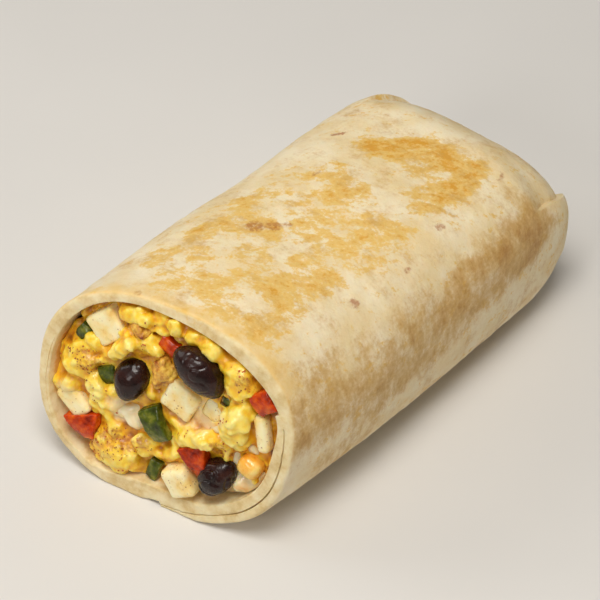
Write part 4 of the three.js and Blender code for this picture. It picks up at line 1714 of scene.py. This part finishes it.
    def mark(self, mesh: bpy.types.Mesh) -> None:
        """Keeps how each point stands up from those round it, which sets the egg's painted shade and
        painted highlight, and where seasoning and cheese lie.
        """
        points, normals = points_of(mesh), normals_of(mesh)
        few, many = self.rise_rounds
        fine = ((points - evened(mesh, points, few)) * normals).sum(1)
        broad = ((points - evened(mesh, points, many)) * normals).sum(1)
        # Painted light: points that stand up, or stand further out of the cut, are painted lighter, and
        # those in hollows are painted in shade.
        out = ROLL.cut_y(points[:, 0], points[:, 2]) - points[:, 1]
        of_fine, of_broad, of_out = self.rise_shares
        rise_shade_and_highlight = self.rise_at_rest + of_fine * fine + of_broad * broad + of_out * np.clip(out + 1.2, -3, 2)
        keep_values(mesh, "rise_shade_and_highlight", evened(mesh, np.clip(rise_shade_and_highlight, 0, 1), 2))
        seen_x, seen_z = points[:, 0] - out * self.seen_shift[0], points[:, 2] - out * self.seen_shift[1]
        keep_values(mesh, "seasoned", Tortilla.strongest(self.seasoned, seen_x, seen_z))
        keep_values(mesh, "cheesy", Tortilla.strongest(self.cheesy, seen_x, seen_z))
        paler = np.zeros(len(points))
        for curd in [c for c in self.curds if c.paler]:
            spot = Mark(curd.at, (curd.size[0] * 0.6, curd.size[1] * 0.6), curd.turn, curd.paler)
            paler = np.maximum(paler, spot.on(points[:, 0], points[:, 2]))
        keep_values(mesh, "paler", paler)

    def dusted_points(self, mesh: bpy.types.Mesh) -> np.ndarray:
        """Which vertices face out of the cut where seasoning lies."""
        seasoned = np.empty(len(mesh.vertices), np.float32)
        mesh.attributes["seasoned"].data.foreach_get("value", seasoned)
        drift = uneven(points_of(mesh) / MM, self.dust_drift)
        return (seasoned + drift > self.dust_from) & (normals_of(mesh)[:, 1] < self.dust_facing)

    def core(self) -> bpy.types.Mesh:
        """The rest of the filling, behind the bed to the folded end."""
        angles = ROLL.inner_angles(72, short=1)[None, :]
        wall = ROLL.wall(angles) + self.core_gap
        shares = along_roll(20, 10)
        start = np.where(shares <= 1, self.bed_recess + self.bed_depth - 1.0, 0.0)
        rings = ROLL.skin(angles, shares, wall, end_depth=ROLL.end_sheets + self.core_gap, back=start)
        mesh = wrapped(rings, "core")
        for name, number in (("rise_shade_and_highlight", 0.5), ("seasoned", 0.0), ("cheesy", 0.0), ("paler", 0.0)):
            keep_values(mesh, name, np.full(len(mesh.vertices), number))
        return mesh

    def build(self, pieces: list[Piece], inside: bpy.types.Mesh) -> bpy.types.Object:
        """Builds and dresses the egg."""
        mesh = self.front(pieces, inside)
        self.mark(mesh)
        finished("egg_core", self.core(), self.finish, [])
        piece = finished("egg_filling", mesh, self.finish, ["egg_filling"])
        Seasoning().build(points_of(mesh)[self.dusted_points(mesh)])
        return piece


@dataclass
class Seasoning:
    """Small grains of spice lying on the egg where it is seasoned."""

    grains: int = 300
    radius: Pair = (0.09, 0.24)
    uneven_sizes: Pair = (0.6, 1.4)
    seed: int = 23
    finish: Finish = field(default_factory=SpiceGrain)

    def build(self, spots: Points) -> bpy.types.Object:
        """Builds the grains, each at one of the given points in metres in the row frame."""
        rng = np.random.default_rng(self.seed)
        bm = bmesh.new()
        for spot in rng.choice(spots, self.grains, replace=False):
            sizes = rng.uniform(*self.radius) * rng.uniform(*self.uneven_sizes, size=3)
            place = tumbled((Vector(spot) - PLACE.shift) / MM, sizes, rng)
            bmesh.ops.create_icosphere(bm, subdivisions=1, radius=1, matrix=place)
        return finished("seasoning", mesh_from(bm, "grains"), self.finish, [])


@dataclass
class CheeseVein:
    """A vein of melted cheese, made from its CAD solid and softened."""

    name: str
    voxel: float = 0.32
    softening: int = 8
    swells_by: float = 0.25
    unevenness: Swell = Swell(0.3, 2.6, 2, 4.1)
    finish: Finish = field(default_factory=MeltedCheese)

    def build(self) -> bpy.types.Object:
        """Builds and dresses the vein."""
        bm = bmesh.new()
        bm.from_mesh(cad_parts[self.name].data)
        bmesh.ops.remove_doubles(bm, verts=bm.verts, dist=1e-6)
        bm.transform(Matrix.Scale(1 / MM, 4) @ Matrix.Translation(-PLACE.shift))
        mesh = remeshed(mesh_from(bm, self.name), self.voxel)
        set_points(mesh, evened(mesh, points_of(mesh), self.softening))
        points, normals = points_of(mesh), normals_of(mesh)
        swollen = self.swells_by + uneven(points, self.unevenness)
        set_points(mesh, points + normals * swollen[:, None])
        return finished(self.name, mesh, self.finish, [self.name])


def filling_pieces() -> list[Piece]:
    """The pieces in the filling, in the order in which they are set."""
    return [
        Bean("black_bean_1", (10, 7.4, 0), Set((-7.5, 27), -1.2, (-20, -75, 0))),
        Bean("black_bean_2", (13, 8.2, 0), Set((6.8, 35.6), 0, (0, 35, 5)), crease=0.12, seed=2),
        PepperBit("red_pepper_4", (6.4, 7.4, 3), Set((9.4, 14.6), -1.2, (0, -28, 0)), taper=0.55),
        Bean(
            "black_bean_3",
            (9.8, 7.2, 0),
            Set((14.2, 12.6), -0.8, (0, -60, 12)),
            crease=0.3,
            uneven=0.18,
            seed=3,
        ),
        Dice("potato_1", (7.7, 7.1, 5), Set((-15.2, 36.3), -3.4, (0, -43, 0)), seed=4),
        Dice("potato_2", (7.4, 7.2, 5.4), Set((3.4, 26.8), -2.9, (0, 20, 0)), seed=5),
        Dice("potato_3", (6.5, 6.9, 4.8), Set((6.4, 8.5), -0.8, (6, -30, 0)), seed=6, radius=1.2),
        Dice("potato_4", (7.8, 5.2, 4.6), Set((-20.4, 15.9), -2.9, (0, 40, 0)), seed=7, radius=1.2),
        Dice("potato_5", (3, 8.8, 3.4), Set((21.6, 26.5), -2.2, (0, -13, 0)), seed=8, radius=1.2),
        Dice("potato_6", (4.6, 5, 4.6), Set((10.2, 26.6), -4, (0, 18, 0)), seed=9, radius=1.2, clear=0.0),
        PepperBit("red_pepper_1", (4.2, 3.4, 2.4), Set((-1, 37.8), -2.2, (0, 20, 0))),
        PepperBit("red_pepper_2", (4.8, 5, 3), Set((21.2, 34.2), -1.8, (0, -42, 0))),
        PepperBit("red_pepper_3", (8.2, 5.4, 3.2), Set((-17, 11.5), -1.8, (0, -20, 0)), taper=0.5),
        PepperBit("green_pepper_1", (2.8, 4, 2.2), Set((-20.5, 32.6), -3, (0, 28, 0))),
        PepperBit("green_pepper_2", (4.6, 7.8, 2.4), Set((-0.9, 19.3), -1, (0, -33, 0)), bow=1.0),
        PepperBit("green_pepper_3", (2.8, 5, 2.2), Set((-0.6, 7.2), -2.6, (0, 14, 0))),
        PepperBit("green_pepper_4", (4, 4.2, 2), Set((-13.5, 25.2), -2.6, (0, -30, 0))),
        PepperBit("green_pepper_5", (2.4, 2.4, 2), Set((13, 29.8), -3.4, (0, 12, 0)), clear=0.35),
        Dice("cheddar_1", (5.2, 4.8, 5), Set((20, 17.4), -2.6, (0, 20, 0)), radius=1.8),
        Crumb("browned_crumble_1", (4.6, 3.8, 3.4), Set((-6.9, 39.6), -0.8, (0, 10, 0)), seed=3),
        Crumb("browned_crumble_2", (4.6, 7.6, 3.6), Set((-1.1, 31.6), -0.9, (0, 12, 0)), seed=8),
    ]


@dataclass
class Studio:
    """The floor, the soft lights and the camera."""

    focal_px: float = 2518.0
    frame_px: float = 600.0
    sensor: float = 36.0
    azimuth: float = 41.2
    elevation: float = 44.2
    distance: float = 536.0
    aim: Triple = (0.0, 0.0, 20.0)
    middle_px: Pair = (332.0, 285.8)
    floor_half: float = 3.0

    def camera(self) -> None:
        """Sets the camera where the photograph was taken from."""
        az, el = math.radians(self.azimuth), math.radians(self.elevation)
        back = Vector((math.sin(az) * math.cos(el), -math.cos(az) * math.cos(el), math.sin(el)))
        right = Vector((math.cos(az), math.sin(az), 0))
        up = back.cross(right)
        across = (self.middle_px[0] - self.frame_px / 2) / self.focal_px * self.distance
        down = (self.middle_px[1] - self.frame_px / 2) / self.focal_px * self.distance
        target = Vector(self.aim) - right * across + up * down
        data = bpy.data.cameras.new("camera")
        data.sensor_width = self.sensor
        data.lens = self.focal_px / self.frame_px * self.sensor
        data.clip_start = 0.01
        camera = bpy.data.objects.new("camera", data)
        camera.location = (target + back * self.distance) * MM + PLACE.shift
        camera.rotation_euler = Matrix((right, up, back)).transposed().to_euler()
        bpy.context.scene.collection.objects.link(camera)
        bpy.context.scene.camera = camera

    def light(
        self, name: str, way: Triple, distance: float, size: float, power: float, warmth: Triple
    ) -> None:
        """Adds a soft square light.

        Args:
            name: Its name.
            way: The direction from the burrito to it.
            distance: How far away it is, in metres.
            size: Its side, in metres.
            power: Its power, in watts.
            warmth: Its colour.
        """
        data = bpy.data.lights.new(name, "AREA")
        data.size, data.energy, data.color = size, power, warmth
        lamp = bpy.data.objects.new(name, data)
        direction = Vector(way).normalized()
        lamp.location = direction * distance + Vector((0, 0, 0.02))
        lamp.rotation_euler = direction.to_track_quat("Z", "Y").to_euler()
        bpy.context.scene.collection.objects.link(lamp)

    def build(self) -> None:
        """Builds the studio."""
        bm = bmesh.new()
        bmesh.ops.create_grid(bm, x_segments=2, y_segments=2, size=self.floor_half)
        mesh = mesh_from(bm, "floor")
        mesh.materials.append(StudioPaper().material())
        floor = bpy.data.objects.new("floor", mesh)
        bpy.context.scene.collection.objects.link(floor)
        self.light("key", (0.15, -0.25, 0.95), 0.7, 0.3, 3.3, (1.0, 0.97, 0.92))
        self.light("left", (-0.85, -0.35, 0.6), 0.8, 0.4, 1.3, (1.0, 0.98, 0.95))
        self.light("front", (0.1, -1.0, 0.6), 0.9, 0.3, 1.5, (1.0, 0.98, 0.96))
        world = bpy.data.worlds.new("studio")
        world.use_nodes = True
        world.node_tree.nodes["Background"].inputs["Color"].default_value = (1.0, 0.98, 0.96, 1.0)
        world.node_tree.nodes["Background"].inputs["Strength"].default_value = 0.2
        bpy.context.scene.world = world
        bpy.context.scene.view_settings.view_transform = "Standard"
        self.camera()


def main() -> None:
    """Builds the burrito and its studio."""
    logging.basicConfig(level=logging.INFO, format="%(name)s: %(message)s")
    tortilla = Tortilla()
    tortilla.build()
    inside = tortilla.hollow(extra=0.02, back=-9.0, around=120, lip=0.0)
    pieces = filling_pieces()
    EggHeap().build(pieces, inside)
    pockets: list[bpy.types.Mesh] = []
    for piece in pieces:
        piece.build(inside, pockets[-NEIGHBOURS:])
        pockets.append(piece.solid(POCKET))
    for i in (1, 2, 3):
        CheeseVein(f"melted_cheese_{i}").build()
    Studio().build()
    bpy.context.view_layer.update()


if __name__ == "__main__":
    main()
